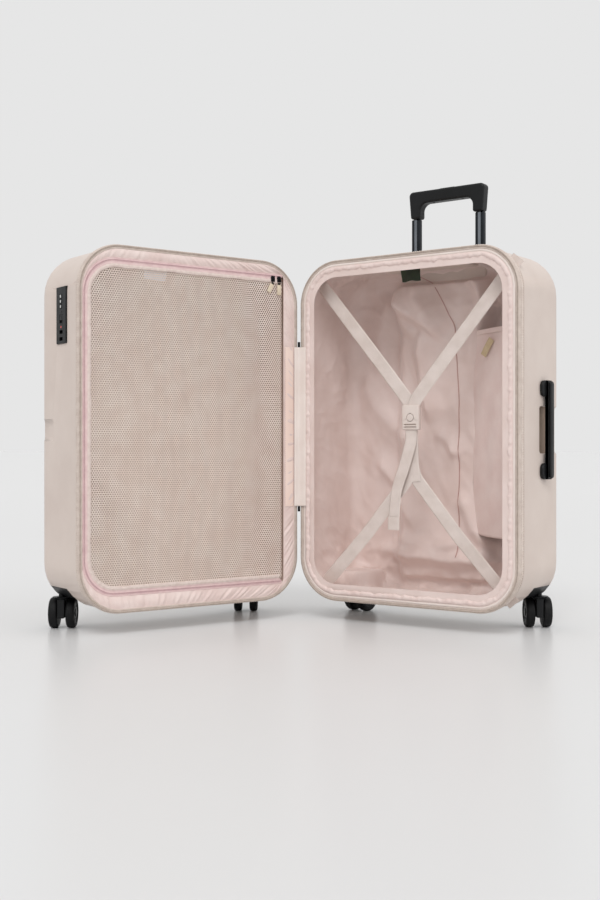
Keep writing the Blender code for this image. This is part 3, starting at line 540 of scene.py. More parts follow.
def spaced(path, pitch, closed=True):
    """Points and directions at even spacing along a path of points."""
    if closed:
        path = np.vstack((path, path[:1]))
    spans = np.linalg.norm(np.diff(path, axis=0), axis=1)
    reach = np.concatenate(([0], np.cumsum(spans)))
    number = int(reach[-1] / pitch)
    at = np.linspace(0, reach[-1], number, endpoint=not closed)
    points = np.column_stack([np.interp(at, reach, path[:, k]) for k in range(3)])
    ahead = np.column_stack([np.interp(at + 0.0008, reach, path[:, k]) for k in range(3)])
    behind = np.column_stack([np.interp(at - 0.0008, reach, path[:, k]) for k in range(3)])
    return points, ahead - behind


rim_profile = (
    (0.0072, 0.0062),
    (0.0073, 0.0016),
    (0.0066, 0.0008),
    (0.0050, 0.0007),
    (0.0046, 0.0013),
    (0.0040, 0.0013),
    (0.0035, 0.0005),
    (0.0022, 0.0001),
    (0.0010, 0.0006),
    (0.0006, 0.0014),
    (0.0010, 0.0021),
    (0.0006, 0.0028),
    (0.0000, 0.0040),
    (-0.0002, 0.0066),
    (0.0000, 0.0098),
    (0.0006, 0.0112),
    (0.0030, 0.0116),
    (0.0072, 0.0114),
    (0.0072, 0.0062),
)
rim_line = case_line(0.0, ring_counts)
for side, half, body in (("back", back_half, "rim_frame"), ("front", front_half, "front_case")):
    rim = loft(
        f"rim_{side}",
        [rail(rim_line, inset, y) for inset, y in rim_profile],
        half,
        rim_tape,
        body=body,
        flip=True,
    )
    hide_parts(f"{side}_rim")
    teeth_at, teeth_along = spaced(rail(rim_line, 0.0024, 0.0002), 0.0021)
    studs(
        f"main_zip_teeth_{side}",
        teeth_at,
        teeth_along,
        (0.0013, 0.0009, 0.0026),
        half,
        coil_plastic,
        body,
    )
    for row, depth in (("near", 0.0050), ("far", 0.0094)):
        stitch_at, stitch_along = spaced(rail(rim_line, -0.0002, depth), 0.0042)
        studs(
            f"rim_stitches_{side}_{row}",
            stitch_at,
            stitch_along,
            (0.0028, 0.0006, 0.0008),
            half,
            pale_tape,
            body,
        )


# Expander zip of the back half: a second coil behind the rim, which lets the case grow.
# Pale tape with the coil's shape in its section, set a millimetre further in, with its own lock
# stitch.

expander_profile = (
    (0.0072, 0.0120),
    (0.0016, 0.0119),
    (0.0013, 0.0132),
    (0.0024, 0.0142),
    (0.0026, 0.0146),
    (0.0014, 0.0152),
    (0.0006, 0.0163),
    (0.0014, 0.0174),
    (0.0026, 0.0180),
    (0.0024, 0.0184),
    (0.0013, 0.0194),
    (0.0016, 0.0207),
    (0.0072, 0.0206),
    (0.0072, 0.0120),
)
expander = loft(
    "expander_zip_tape",
    [rail(rim_line, inset, y) for inset, y in expander_profile],
    back_half,
    pale_tape,
    body="back_case",
    flip=True,
)
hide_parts("expander_zip")
for row, depth in (("near", 0.0133), ("far", 0.0193)):
    stitch_at, stitch_along = spaced(rail(rim_line, 0.0012, depth), 0.0042)
    studs(
        f"expander_stitches_{row}",
        stitch_at,
        stitch_along,
        (0.0028, 0.0005, 0.0008),
        back_half,
        rim_tape,
        "back_case",
    )


# Stitched bands on both shells: pale thread through the lip where the tape is sewn on.
# Two rows of lock stitch just behind the zips, close to the shell's own colour.

for row, depth in (("near", 0.0142), ("far", 0.0182)):
    for side, half, body, start in (
        ("front", front_half, "front_case", 0.0),
        ("back", back_half, "back_case", 0.0092),
    ):
        stitch_at, stitch_along = spaced(rail(rim_line, 0.0038, depth + start), 0.0042)
        studs(
            f"shell_stitches_{side}_{row}",
            stitch_at,
            stitch_along,
            (0.0028, 0.0006, 0.0008),
            half,
            rim_tape,
            body,
        )


# Linings: one bag of satin polyester in each half, hung from the rim and tacked at its corners.
# Thin silky dusty-pink cloth. It hangs in soft folds, puckers at its seams and crumples where
# it gathers on the floor of the case.

lining_satin = woven(
    "satin_lining_dusty_pink",
    {"Sheen Weight": 0.35, "Sheen Roughness": 0.4, "Specular IOR Level": 0.35},
    ("E0CCC5", "E8D6D0"),
    60,
    (0.42, 0.55),
    (0.9, 0.9),
    0.02,
    (5.0, 0.10),
)
# The front lining's beige is partly its own colour and partly painted shade: it is darkened for the
# shade it lies in behind the mesh door.
lining_beige_painted_shade = woven(
    "plain_lining_beige_painted_shade",
    {"Sheen Weight": 0.2, "Sheen Roughness": 0.5, "Specular IOR Level": 0.3},
    ("C6AEA0", "CDB7AA"),
    60,
    (0.55, 0.7),
    (0.9, 0.9),
    0.02,
    (5.0, 0.10),
)


def distance_to_fold(x, z, fold):
    """Signed distance from points to a bent line, and how far along it each nearest point is."""
    best = np.full(x.shape, 1e9)
    side = np.zeros(x.shape)
    share = np.zeros(x.shape)
    spans = [math.dist(a, b) for a, b in zip(fold, fold[1:])]
    before = 0.0
    for (ax, az), (bx, bz), span in zip(fold, fold[1:], spans):
        ux, uz = (bx - ax) / span, (bz - az) / span
        t = np.clip((x - ax) * ux + (z - az) * uz, 0, span)
        dx, dz = x - ax - ux * t, z - az - uz * t
        away = np.hypot(dx, dz)
        nearer = away < best
        best = np.where(nearer, away, best)
        side = np.where(nearer, np.sign(dx * -uz + dz * ux), side)
        share = np.where(nearer, (before + t) / sum(spans), share)
        before += span
    return best * side, share


def fold_height(x, z, folds):
    """Height of the cloth over its flat place: each fold has its own width to either side."""
    height = np.zeros(x.shape)
    for points, rise, left_width, right_width in folds:
        away, share = distance_to_fold(x, z, points)
        width = np.where(away > 0, left_width, right_width)
        fade = np.clip(np.sin(np.pi * np.clip(share, 0.02, 0.98)) * 2.2, 0, 1)
        height += rise * fade * np.exp(-np.abs(away / width) ** 1.6)
    return height


def soft_noise(points, size, seed, ridged=False, detail=3):
    """Noise in 0 to 1 at each point, with features of this size in metres."""
    offset = Vector((seed * 7.3, seed * 3.1, seed * 5.7))
    values = []
    for x, y, z in points:
        place = Vector((x / size[0], y / size[1], z / size[2])) + offset
        value = noise.fractal(place, 1.0, 2.0, detail)
        values.append((1 - abs(value) * 2) if ridged else value + 0.5)
    return np.clip(np.array(values), 0, 1.4)


def lining_bag(mouth_inset, mouth_y, depth, round_edge, counts, back_share):
    """The bag's flat place, on a grid: its back in the middle of the grid and its walls around."""
    columns, rows = counts
    a, b = np.meshgrid(np.linspace(-1, 1, columns), np.linspace(-1, 1, rows))
    ring = np.maximum(np.maximum(np.abs(a), np.abs(b)), 1e-6)
    half_across = half_width - mouth_inset
    half_up = (case_high - case_low) / 2 - mouth_inset
    radius = case_corner_radius - mouth_inset
    upright = np.abs(a) >= np.abs(b)
    straight = np.where(upright, half_up, half_across) - radius
    along = np.where(upright, b, a) / ring
    reach = along * (straight + radius * math.pi / 4)
    past = np.clip(np.abs(reach) - straight, 0, None) / radius
    out = np.where(upright, half_across, half_up) - radius + radius * np.cos(past)
    sweep = np.sign(reach) * (np.minimum(np.abs(reach), straight) + radius * np.sin(past))
    out_way, sweep_way = np.cos(past), np.sign(reach) * np.sin(past)
    sign = np.where(upright, np.sign(a), np.sign(b))
    edge_x = np.where(upright, sign * out, sweep)
    edge_z = np.where(upright, sweep, sign * out)
    inward_x = -np.where(upright, sign * out_way, sweep_way)
    inward_z = -np.where(upright, sweep_way, sign * out_way)
    wall_length = depth - round_edge - mouth_y
    bend_length = round_edge * math.pi / 2
    from_mouth = (1 - ring) / (1 - back_share) * (wall_length + bend_length)
    bend = np.clip((from_mouth - wall_length) / round_edge, 0, math.pi / 2)
    step_in = round_edge * (1 - np.cos(bend))
    y = mouth_y + np.minimum(from_mouth, wall_length) + round_edge * np.sin(bend)
    y = np.where(ring < back_share, depth, y)
    scale = np.minimum(ring / back_share, 1)
    middle = (case_low + case_high) / 2
    x = (edge_x + inward_x * step_in) * scale
    z = middle + (edge_z + inward_z * step_in) * scale
    flat = np.stack((x, y, z), axis=2)
    inward = np.stack((inward_x * np.cos(bend), -np.sin(bend), inward_z * np.cos(bend)), axis=2)
    inward[ring < back_share] = (0, -1, 0)
    return flat, inward, np.clip(bend / (math.pi / 2), 0, 1)


def smooth_rows(rows, rounds):
    for _ in range(rounds):
        inner = rows.copy()
        inner[1:-1, 1:-1] = rows[1:-1, 1:-1] * 0.4 + 0.15 * (
            rows[:-2, 1:-1] + rows[2:, 1:-1] + rows[1:-1, :-2] + rows[1:-1, 2:]
        )
        rows = inner
    return rows


pocket_radius = 0.068
pocket_top = 0.084


def hang_lining(name, half, material, mouth, depth, folds, seed, amount, channel, pocket_y):
    """The lining of one half: its flat place, moved inward by folds, gathers and creases.

    It lies over the trolley channel at its back and over the two caster pockets at its floor.
    """
    flat, inward, reach = lining_bag(mouth[0], mouth[1], depth, 0.030, (150, 196), 0.60)
    points = flat.reshape(-1, 3)
    x, y, z = points[:, 0], points[:, 1], points[:, 2]
    toward_back = reach.reshape(-1)
    rise = np.zeros(len(points))
    if channel:
        half_span, channel_rise = channel
        edge = np.clip((half_span + 0.014 - np.abs(x)) / 0.028, 0, 1)
        rise += channel_rise * edge * edge * (3 - 2 * edge) * toward_back**2
    broad = soft_noise(points, (0.10, 0.10, 0.22), seed)
    tall = soft_noise(points, (0.035, 0.05, 0.16), seed + 1, ridged=True)
    slant = np.column_stack((x * 0.8 + z * 0.6, y, z * 0.8 - x * 0.6))
    creased = soft_noise(slant, (0.030, 0.05, 0.10), seed + 2, ridged=True)
    low_down = np.clip((case_low + 0.15 - z) / 0.14, 0, 1)
    high_up = np.clip((z - (case_high - 0.15)) / 0.12, 0, 1)
    crumple = soft_noise(points, (0.060, 0.045, 0.030), seed + 3, ridged=True, detail=3)
    rise += amount * (0.0040 * broad + 0.0012 * tall**3 + 0.0030 * creased**4)
    rise += amount * (0.010 * low_down + 0.005 * high_up) * crumple**3
    rise += fold_height(x, z, folds) * toward_back
    tacked = np.clip((y - mouth[1]) / 0.03, 0.08, 1)
    rise = np.maximum(rise * tacked, 0.0004)
    rows = (points + inward.reshape(-1, 3) * rise[:, None]).reshape(flat.shape)
    rows = smooth_rows(rows, 2)
    for side in (-1, 1):
        away = np.hypot(rows[:, :, 0] - side * (half_width - 0.031), rows[:, :, 1] - pocket_y)
        over = np.clip((pocket_radius - away) / 0.010, 0, 1)
        over = over * over * (3 - 2 * over)
        shelf = case_low + over * (pocket_top - case_low)
        rows[:, :, 2] = np.maximum(rows[:, :, 2], shelf)
    bag = loft(name, list(rows), half, material, closed=False)
    apply_modifier(bag, "finer_cloth", "SUBSURF", {"levels": 1, "render_levels": 1})
    bag.data.polygons.foreach_set("use_smooth", [True] * len(bag.data.polygons))
    return bag


_, back_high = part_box("back_lining")
deep_inside = (back_high.y - hinge_line.y) - 0.004
channel_rise = 0.026
back_pocket_y = joints["caster_back_left_swivel"]["pos_m"][1] - hinge_line.y
front_pocket_y = (front_half.inverted() @ Vector(joints["caster_front_left_swivel"]["pos_m"])).y
back_folds = (
    (
        ((-0.103, 0.640), (-0.100, 0.597), (-0.071, 0.577), (-0.016, 0.545), (0.010, 0.521)),
        0.032,
        0.040,
        0.006,
    ),
    (((-0.110, 0.600), (-0.090, 0.560), (-0.050, 0.530)), 0.017, 0.024, 0.006),
    (((-0.060, 0.650), (-0.045, 0.600), (-0.010, 0.560)), 0.014, 0.022, 0.010),
    (((-0.030, 0.560), (-0.046, 0.500), (-0.036, 0.440), (-0.02, 0.36)), 0.019, 0.026, 0.010),
    (((-0.190, 0.470), (-0.160, 0.405), (-0.107, 0.355), (-0.06, 0.33)), 0.014, 0.012, 0.026),
    (((0.060, 0.650), (0.085, 0.600), (0.100, 0.560)), 0.017, 0.022, 0.008),
    (((0.060, 0.600), (0.070, 0.540), (0.060, 0.470)), 0.010, 0.020, 0.012),
    (((-0.014, 0.350), (0.014, 0.336), (0.034, 0.300)), 0.012, 0.014, 0.007),
    (((-0.13, 0.62), (-0.15, 0.54), (-0.14, 0.46)), 0.010, 0.018, 0.020),
    (((-0.16, 0.30), (-0.10, 0.24), (-0.05, 0.16)), 0.013, 0.030, 0.010),
    (((-0.15, 0.125), (-0.07, 0.118), (0.03, 0.112), (0.12, 0.118)), 0.023, 0.012, 0.014),
    (((-0.10, 0.150), (-0.02, 0.135), (0.05, 0.145)), 0.014, 0.010, 0.012),
    (((0.04, 0.24), (0.07, 0.17), (0.12, 0.13)), 0.013, 0.018, 0.010),
)
lining_back = hang_lining(
    "lining_back",
    back_half,
    lining_satin,
    (0.0100, 0.012),
    deep_inside,
    back_folds,
    3,
    1.0,
    (0.096, channel_rise),
    back_pocket_y,
)
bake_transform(lining_back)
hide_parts("back_lining")

front_folds = (
    (((-0.16, 0.58), (-0.05, 0.44), (0.06, 0.27)), 0.016, 0.030, 0.010),
    (((0.00, 0.50), (0.07, 0.40), (0.12, 0.26)), 0.014, 0.010, 0.028),
    (((-0.18, 0.34), (-0.08, 0.22), (0.00, 0.14)), 0.014, 0.024, 0.010),
    (((-0.12, 0.24), (-0.06, 0.17), (0.02, 0.12)), 0.012, 0.020, 0.008),
    (((-0.085, 0.62), (-0.085, 0.40), (-0.08, 0.20)), 0.007, 0.012, 0.006),
    (((0.095, 0.62), (0.10, 0.42), (0.10, 0.14)), 0.007, 0.006, 0.014),
)
# Front lining in the darker beige, which is partly painted shade.
lining_front = hang_lining(
    "lining_front",
    front_half,
    lining_beige_painted_shade,
    (0.0090, 0.008),
    front_depth - 0.0065,
    front_folds,
    11,
    0.9,
    None,
    front_pocket_y,
)
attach(lining_front, "front_case")
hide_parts("front_lining")


# Divider of the front half: a border of gathered satin round a mesh door that zips open.
# The border is cut longer than its edges and gathered onto them, so it ruffles all round.

door_low_corner, door_high_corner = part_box("divider_door")
door_low = door_low_corner.z
door_high = door_high_corner.z
door_hinge = Vector(joints["divider_door_hinge"]["pos_m"])
door_right = (front_half.inverted() @ door_hinge).x
door_left = -half_width + 0.0115
door_y = (front_half.inverted() @ door_hinge).y
door_radii = (0.060, 0.006, 0.006, 0.060)
door_line = outline(door_left, door_right, door_low, door_high, door_radii, ring_counts)


def gathers(reach, around, cycles, seed):
    """Ruffles along an edge, as heights in -1 to 1 that meet at the loop's ends."""
    phases = np.random.default_rng(seed).uniform(0, 2 * math.pi, len(cycles))
    height = np.zeros(len(reach))
    for number, phase in zip(cycles, phases):
        wander = 0.7 * np.sin(2 * math.pi * reach / around * 7 + phase)
        height += np.sin(2 * math.pi * reach / around * number + phase + wander)
    return height / len(cycles)


ruffle = gathers(rim_line[2], rim_line[3], (61, 97, 148, 211), 5)
crush = gathers(rim_line[2], rim_line[3], (83, 131, 187), 9)
outer_edge = rail(rim_line, 0.0071, 0.0016)
inner_edge = rail(door_line, -0.0042, door_y - 0.0004)
border_rails = []
for step in range(15):
    share = step / 14
    belly = math.sin(math.pi * share)
    row = outer_edge * (1 - share) + inner_edge * share
    room = np.linalg.norm(outer_edge - inner_edge, axis=1)
    swell = np.clip(room / 0.020, 0, 1)
    fade = belly**0.7 if 0 < step < 14 else 0.0
    row[:, 1] += swell * (0.0016 * ruffle * fade + 0.0010 * crush * fade * share)
    row[:, 1] -= swell * 0.0018 * belly
    border_rails.append(row)
satin_border = woven(
    "gathered_satin_border_pink",
    {"Sheen Weight": 0.35, "Sheen Roughness": 0.4, "Specular IOR Level": 0.35},
    ("E3CDC7", "EAD8D2"),
    40,
    (0.42, 0.55),
    (0.9, 0.9),
    0.02,
    (3.0, 0.06),
)
border = loft(
    "divider_border_gathered",
    border_rails,
    front_half,
    satin_border,
    body="front_case",
    flip=True,
)
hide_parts("divider_border")


# Zip round three sides of the door: pink tape, two rows of moulded coil, knitted mesh binding.
# The outer tape is sewn to the border and the inner one to the mesh, so each rides with its own.

zip_pink = woven(
    "woven_zip_tape_pink",
    {"Sheen Weight": 0.2, "Specular IOR Level": 0.3},
    ("DDBFBE", "E6CCC9"),
    12,
    (0.55, 0.7),
    (1.5, 1.5),
    0.08,
)
zip_coil = plain_finish(
    "moulded_coil_mauve_pink",
    {"Specular IOR Level": 0.45},
    ("CFABB0", "D8B8BA"),
    8,
    (0.35, 0.5),
    ((0.8, 0.02),),
)
binding_pale = woven(
    "knitted_binding_pale_pink",
    {"Sheen Weight": 0.3, "Specular IOR Level": 0.25},
    ("DECBC3", "E8D8D0"),
    6,
    (0.6, 0.8),
    (2.4, 2.4),
    0.30,
)
across, upright, corner = ring_counts
top_start = corner * 2 + across + upright + corner // 2
three_sides = [
    (top_start + step) % len(door_line[0])
    for step in range(len(door_line[0]) - upright - corner)
]
open_line = [part[three_sides] for part in door_line[:2]]


def zip_side(name, profile, body, material):
    rails = [rail(open_line, inset, door_y + y) for inset, y in profile]
    return loft(name, rails, front_half, material, closed=False, body=body, flip=False)


zip_side(
    "door_zip_tape_outer",
    (
        (-0.0046, 0.0006),
        (-0.0047, -0.0009),
        (-0.0040, -0.0013),
        (-0.0034, -0.0008),
        (-0.0024, -0.0009),
        (-0.0016, -0.0012),
        (-0.0001, -0.0006),
        (-0.0001, 0.0006),
    ),
    "front_case",
    zip_pink,
)
zip_side(
    "door_zip_tape_inner",
    (
        (0.0001, 0.0006),
        (0.0001, -0.0006),
        (0.0016, -0.0012),
        (0.0026, -0.0009),
        (0.0046, -0.0010),
        (0.0052, -0.0014),
        (0.0060, -0.0010),
    ),
    "divider_door",
    zip_pink,
)
wobble = gathers(np.linspace(0, 1.5, len(three_sides)), 1.5, (9, 23, 41), 4)
binding_rails = []
for inset, y in (
    (0.0056, -0.0006),
    (0.0062, -0.0015),
    (0.0086, -0.0018),
    (0.0118, -0.0016),
    (0.0128, -0.0008),
    (0.0126, 0.0004),
):
    loose = (inset - 0.0056) / 0.007
    binding_rails.append(rail(open_line, inset + 0.0009 * wobble * loose, door_y + y))
loft(
    "door_binding",
    binding_rails,
    front_half,
    binding_pale,
    closed=False,
    body="divider_door",
)
for name, inset, body in (
    ("outer", -0.0009, "front_case"),
    ("inner", 0.0009, "divider_door"),
):
    teeth_at, teeth_along = spaced(rail(open_line, inset, door_y - 0.0010), 0.0022, closed=False)
    studs(
        f"door_zip_teeth_{name}",
        teeth_at,
        teeth_along,
        (0.0014, 0.0008, 0.0016),
        front_half,
        zip_coil,
        body,
    )


# Mesh of the door: warp-knitted polyester with six-sided holes, about 4.6 mm from hole to hole.
# It is soft and a little slack, so it hangs in shallow waves. The holes are real.

mesh_beige = plain_finish(
    "warp_knitted_mesh_beige",
    {"Sheen Weight": 0.3, "Specular IOR Level": 0.25},
    ("EFDDD2", "F6E8DE"),
    30,
    (0.6, 0.8),
    ((1.2, 0.05),),
)
hole_pitch = 0.0046
row_pitch = 0.0037
cells_across = int((door_right - door_left) / hole_pitch) + 2
cells_up = int((door_high - door_low) / row_pitch) + 2
hexagon = [
    (math.cos(math.radians(30 + 60 * k)), math.sin(math.radians(30 + 60 * k))) for k in range(6)
]
door_corner = door_radii[0]
corner_reach = door_corner - 0.007
hole_share = 0.68
wide = hole_pitch / math.sqrt(3)
tall = row_pitch / 1.5
vertices, faces = [], []
inset_edge = 0.0070
for up in range(cells_up):
    for side in range(cells_across):
        cx = door_left + (side + 0.5 * (up % 2)) * hole_pitch
        cz = door_low + up * row_pitch
        if not (door_left + inset_edge < cx < door_right - 0.0005):
            continue
        if not (door_low + inset_edge < cz < door_high - inset_edge):
            continue
        past_x = max(door_left + door_corner - cx, 0.0)
        past_z = max(door_low + door_corner - cz, cz - (door_high - door_corner), 0.0)
        if past_x and past_z and math.hypot(past_x, past_z) > corner_reach:
            continue
        start = len(vertices)
        for scale in (1.0, hole_share):
            vertices += [
                (cx + wide * hx * scale, 0.0, cz + tall * hz * scale) for hx, hz in hexagon
            ]
        faces += [
            (start + k, start + (k + 1) % 6, start + 6 + (k + 1) % 6, start + 6 + k)
            for k in range(6)
        ]
points = np.array(vertices)
slack_across = np.sin(np.pi * np.clip((points[:, 0] - door_left) / (door_right - door_left), 0, 1))
slack_up = np.sin(np.pi * np.clip((points[:, 2] - door_low) / (door_high - door_low), 0, 1))
slack = slack_across * slack_up
points_per_hole = 2 * len(hexagon)
drift = np.repeat(soft_noise(points[::points_per_hole], (0.12, 1, 0.16), 21), points_per_hole)
points[:, 1] = door_y + 0.0004 + slack * (0.0030 + 0.0030 * (drift - 0.5))
mesh = bpy.data.meshes.new("door_mesh")
mesh.from_pydata(points.tolist(), [], faces)
mesh.transform(front_half)
mesh.materials.append(mesh_beige)
door_mesh = bpy.data.objects.new("door_mesh", mesh)
scene.collection.objects.link(door_mesh)
select_only(door_mesh)
bpy.ops.object.mode_set(mode="EDIT")
bpy.ops.mesh.select_all(action="SELECT")
bpy.ops.mesh.remove_doubles(threshold=0.0004)
bpy.ops.mesh.normals_make_consistent(inside=False)
bpy.ops.object.mode_set(mode="OBJECT")
bpy.ops.object.shade_smooth()
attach(door_mesh, "divider_door")
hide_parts("divider_door")


# Care label: a plain woven ribbon sewn into the top seam of the front lining, behind the mesh.
# It is white satin ribbon with nothing printed on it.

care_label_cloth = woven(
    "white_printed_ribbon_plain",
    {"Sheen Weight": 0.1, "Specular IOR Level": 0.3},
    ("D6D2D8", "E2DEE2"),
    15,
    (0.5, 0.6),
    (1.2, 1.2),
    0.03,
)


def cloth_patch(name, corners, half, material, body, counts=(24, 14), bulge=None):
    """A four-cornered piece of cloth: corners run round it, and bulge moves its points."""
    first, second, third, fourth = (np.array(corner, float) for corner in corners)
    rails = []
    for row in range(counts[1] + 1):
        v = row / counts[1]
        u = np.linspace(0, 1, counts[0] + 1)[:, None]
        start, end = first * (1 - v) + fourth * v, second * (1 - v) + third * v
        points = start * (1 - u) + end * u
        if bulge:
            points = points + bulge(u[:, 0], v)
        rails.append(points)
    return loft(name, rails, half, material, closed=False, body=body)


care_x, care_z = -0.095, door_high - 0.008
cloth_patch(
    "care_label",
    (
        (care_x, door_y + 0.010, care_z),
        (care_x + 0.046, door_y + 0.010, care_z),
        (care_x + 0.044, door_y + 0.013, care_z - 0.019),
        (care_x + 0.001, door_y + 0.013, care_z - 0.017),
    ),
    front_half,
    care_label_cloth,
    "front_case",
)


# Mouth of the back half: a pale satin strip on the rim, then a soft rolled hem with elastic.
# The sleeve that folds out for the expansion hangs behind it, so both ride with the rim.

skin_of(
    "expansion_gusset", "expansion_sleeve", "rim_frame", lining_satin
)
hem_ruffle = gathers(rim_line[2], rim_line[3], (29, 47, 71, 113), 15)
hem_crush = gathers(rim_line[2], rim_line[3], (97, 139, 203), 19)
hem_profile = (
    (0.0071, 0.0016, 0.0),
    (0.0084, 0.0008, 0.1),
    (0.0102, 0.0004, 0.1),
    (0.0112, 0.0010, 0.1),
    (0.0118, 0.0024, 0.1),
    (0.0122, 0.0016, 0.2),
    (0.0130, 0.0002, 0.5),
    (0.0148, -0.0010, 0.8),
    (0.0172, -0.0012, 1.0),
    (0.0196, -0.0004, 1.1),
    (0.0216, 0.0020, 1.2),
    (0.0222, 0.0050, 1.2),
    (0.0226, 0.0085, 1.2),
    (0.0216, 0.0130, 1.1),
    (0.0196, 0.0170, 0.9),
    (0.0170, 0.0200, 0.6),
    (0.0130, 0.0225, 0.3),
    (0.0100, 0.0240, 0.1),
)
hem_rails = []
for inset, y, loose in hem_profile:
    row = rail(
        rim_line,
        inset + loose * (0.0014 * hem_ruffle + 0.0003 * hem_crush),
        y + loose * (0.0010 * hem_crush - 0.0006 * hem_ruffle),
    )
    hem_rails.append(row)
hem = loft(
    "mouth_hem_rolled",
    hem_rails[5:],
    back_half,
    satin_border,
    body="rim_frame",
    flip=True,
)
strip_satin = woven(
    "satin_binding_pearl_pink",
    {"Sheen Weight": 0.3, "Specular IOR Level": 0.5},
    ("E6D8D0", "EDE1DA"),
    50,
    (0.30, 0.42),
    (0.9, 0.9),
    0.02,
)
loft(
    "mouth_binding_strip",
    hem_rails[:6],
    back_half,
    strip_satin,
    body="rim_frame",
    flip=True,
)


# Covers over the hinge: a leather-look strip on the front border, satin on the back half.
# Both are stitched down over the tape that joins the halves. The satin one carries no lettering.

hinge_low, hinge_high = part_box("hinge_tape")
cover_low, cover_high = hinge_low.z, hinge_high.z
leather_strip = plain_finish(
    "coated_leather_look_pale_rose",
    {"Specular IOR Level": 0.4},
    ("F2DACE", "F5E0D5"),
    60,
    (0.45, 0.58),
    ((1.6, 0.04), (0.8, 0.03)),
)


def strip_profile(left, right, middle_y, swell, steps=9):
    for step in range(steps):
        share = step / (steps - 1)
        yield left + (right - left) * share, middle_y - swell * math.sin(math.pi * share) ** 0.5


height_steps = 120
heights = np.linspace(cover_low, cover_high, height_steps)


def upright_strip(name, left, right, y, swell, half, material, body):
    rails = [
        np.column_stack((np.full(height_steps, x), np.full(height_steps, depth), heights))
        for x, depth in strip_profile(left, right, y, swell)
    ]
    return loft(name, rails, half, material, closed=False, body=body)


cover_right = half_width - 0.0076
leather_cover = upright_strip(
    "hinge_cover_leather",
    cover_right - 0.0215,
    cover_right,
    door_y - 0.0022,
    0.0014,
    front_half,
    leather_strip,
    "front_case",
)
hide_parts("hinge_cover_front")
from_back_to_front = (
    back_half @ Vector((-half_width + 0.0135, 0.0002, 0)),
    back_half @ Vector((-half_width + 0.0120, -0.0012, 0)),
    back_half @ Vector((-half_width + 0.0060, -0.0020, 0)),
    back_half @ Vector((-half_width + 0.0005, -0.0024, 0)),
    hinge_line + Vector((0.0006, -0.0042, 0)),
    front_half @ Vector((half_width - 0.0005, -0.0024, 0)),
    front_half @ Vector((half_width - 0.0050, -0.0018, 0)),
    front_half @ Vector((half_width - 0.0080, -0.0002, 0)),
)
coarse = np.array([tuple(point) for point in from_back_to_front])
spans = np.concatenate(([0], np.cumsum(np.linalg.norm(np.diff(coarse, axis=0), axis=1))))
steps_across = 26
fine = np.linspace(0, spans[-1], steps_across)
across_hinge = np.column_stack([np.interp(fine, spans, coarse[:, k]) for k in range(3)])
for _ in range(4):
    across_hinge[1:-1] = across_hinge[1:-1] * 0.5 + (across_hinge[:-2] + across_hinge[2:]) * 0.25
hinge_ripple = np.sin(heights * 61 + 0.4) * 0.5 + np.sin(heights * 23) * 0.5
satin_rails = []
for number, (x, y, _) in enumerate(across_hinge):
    loose = math.sin(math.pi * number / (steps_across - 1))
    satin_rails.append(
        np.column_stack(
            (
                np.full(height_steps, x) + 0.0003 * loose * hinge_ripple,
                np.full(height_steps, y) - 0.0004 * loose * hinge_ripple,
                heights,
            )
        )
    )
satin_cover = loft(
    "hinge_cover_satin",
    satin_rails,
    Matrix.Identity(4),
    strip_satin,
    closed=False,
)
apply_modifier(satin_cover, "cloth_thickness", "SOLIDIFY", {"thickness": 0.0005, "offset": 0.0})
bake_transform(satin_cover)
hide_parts("hinge_cover_back")
for name, x in (("inner", cover_right - 0.0205), ("outer", cover_right - 0.0010)):
    seam_ends = ((x, door_y - 0.0029, cover_low + 0.003), (x, door_y - 0.0029, cover_high - 0.003))
    stitch_at, stitch_along = spaced(np.array(seam_ends), 0.0034, closed=False)
    studs(
        f"hinge_cover_stitches_{name}",
        stitch_at,
        stitch_along,
        (0.0022, 0.0004, 0.0006),
        front_half,
        zip_coil,
        "front_case",
    )
skin_of("hinge_tape", "hinge_tape_rolled", "rim_frame", rim_tape)


# Packing straps: ribbed polyester webbing, 25 mm wide and 1.4 mm thick.
# Upper straps run from the corners into the buckle, the right one over the left; the lower
# pair leaves it as one band, with the free tail hanging in front.

webbing_beige = woven(
    "ribbed_webbing_beige",
    {"Sheen Weight": 0.2, "Specular IOR Level": 0.3},
    ("DACCC4", "E4D7D0"),
    25,
    (0.55, 0.7),
    (1.9, 1.5),
    0.16,
)


def band_of_webbing(name, route, width, thickness, half, material, body, turns=None):
    """A flat band along a route of (x, y, z) points, rounded at its edges, faces to the mouth."""
    route = np.array(route, float)
    spans = np.linalg.norm(np.diff(route, axis=0), axis=1)
    reach = np.concatenate(([0], np.cumsum(spans)))
    number = max(int(reach[-1] / 0.004), 8)
    at = np.linspace(0, reach[-1], number)
    line = np.column_stack([np.interp(at, reach, route[:, k]) for k in range(3)])
    for _ in range(5):
        line[1:-1] = line[1:-1] * 0.5 + (line[:-2] + line[2:]) * 0.25
    ahead = np.gradient(line, axis=0)
    ahead /= np.linalg.norm(ahead, axis=1)[:, None]
    facing = np.tile((0.0, -1.0, 0.0), (number, 1))
    facing -= ahead * (facing * ahead).sum(axis=1)[:, None]
    facing /= np.linalg.norm(facing, axis=1)[:, None]
    across = np.cross(ahead, facing)
    if turns is not None:
        angle = np.interp(at / reach[-1], np.linspace(0, 1, len(turns)), np.radians(turns))[:, None]
        facing, across = (
            facing * np.cos(angle) + across * np.sin(angle),
            across * np.cos(angle) - facing * np.sin(angle),
        )
    section = []
    for step in range(21):
        share = -1 + 2 * step / 20
        rounded = math.sqrt(max(1 - abs(share) ** 14, 0.0))
        section.append((share * width / 2, thickness / 2 * rounded))
    section += [(x, -lift) for x, lift in section[-2:0:-1]]
    section.append(section[0])
    rails = [line + across * x + facing * lift for x, lift in section]
    return loft(name, rails, half, material, closed=False, body=body)


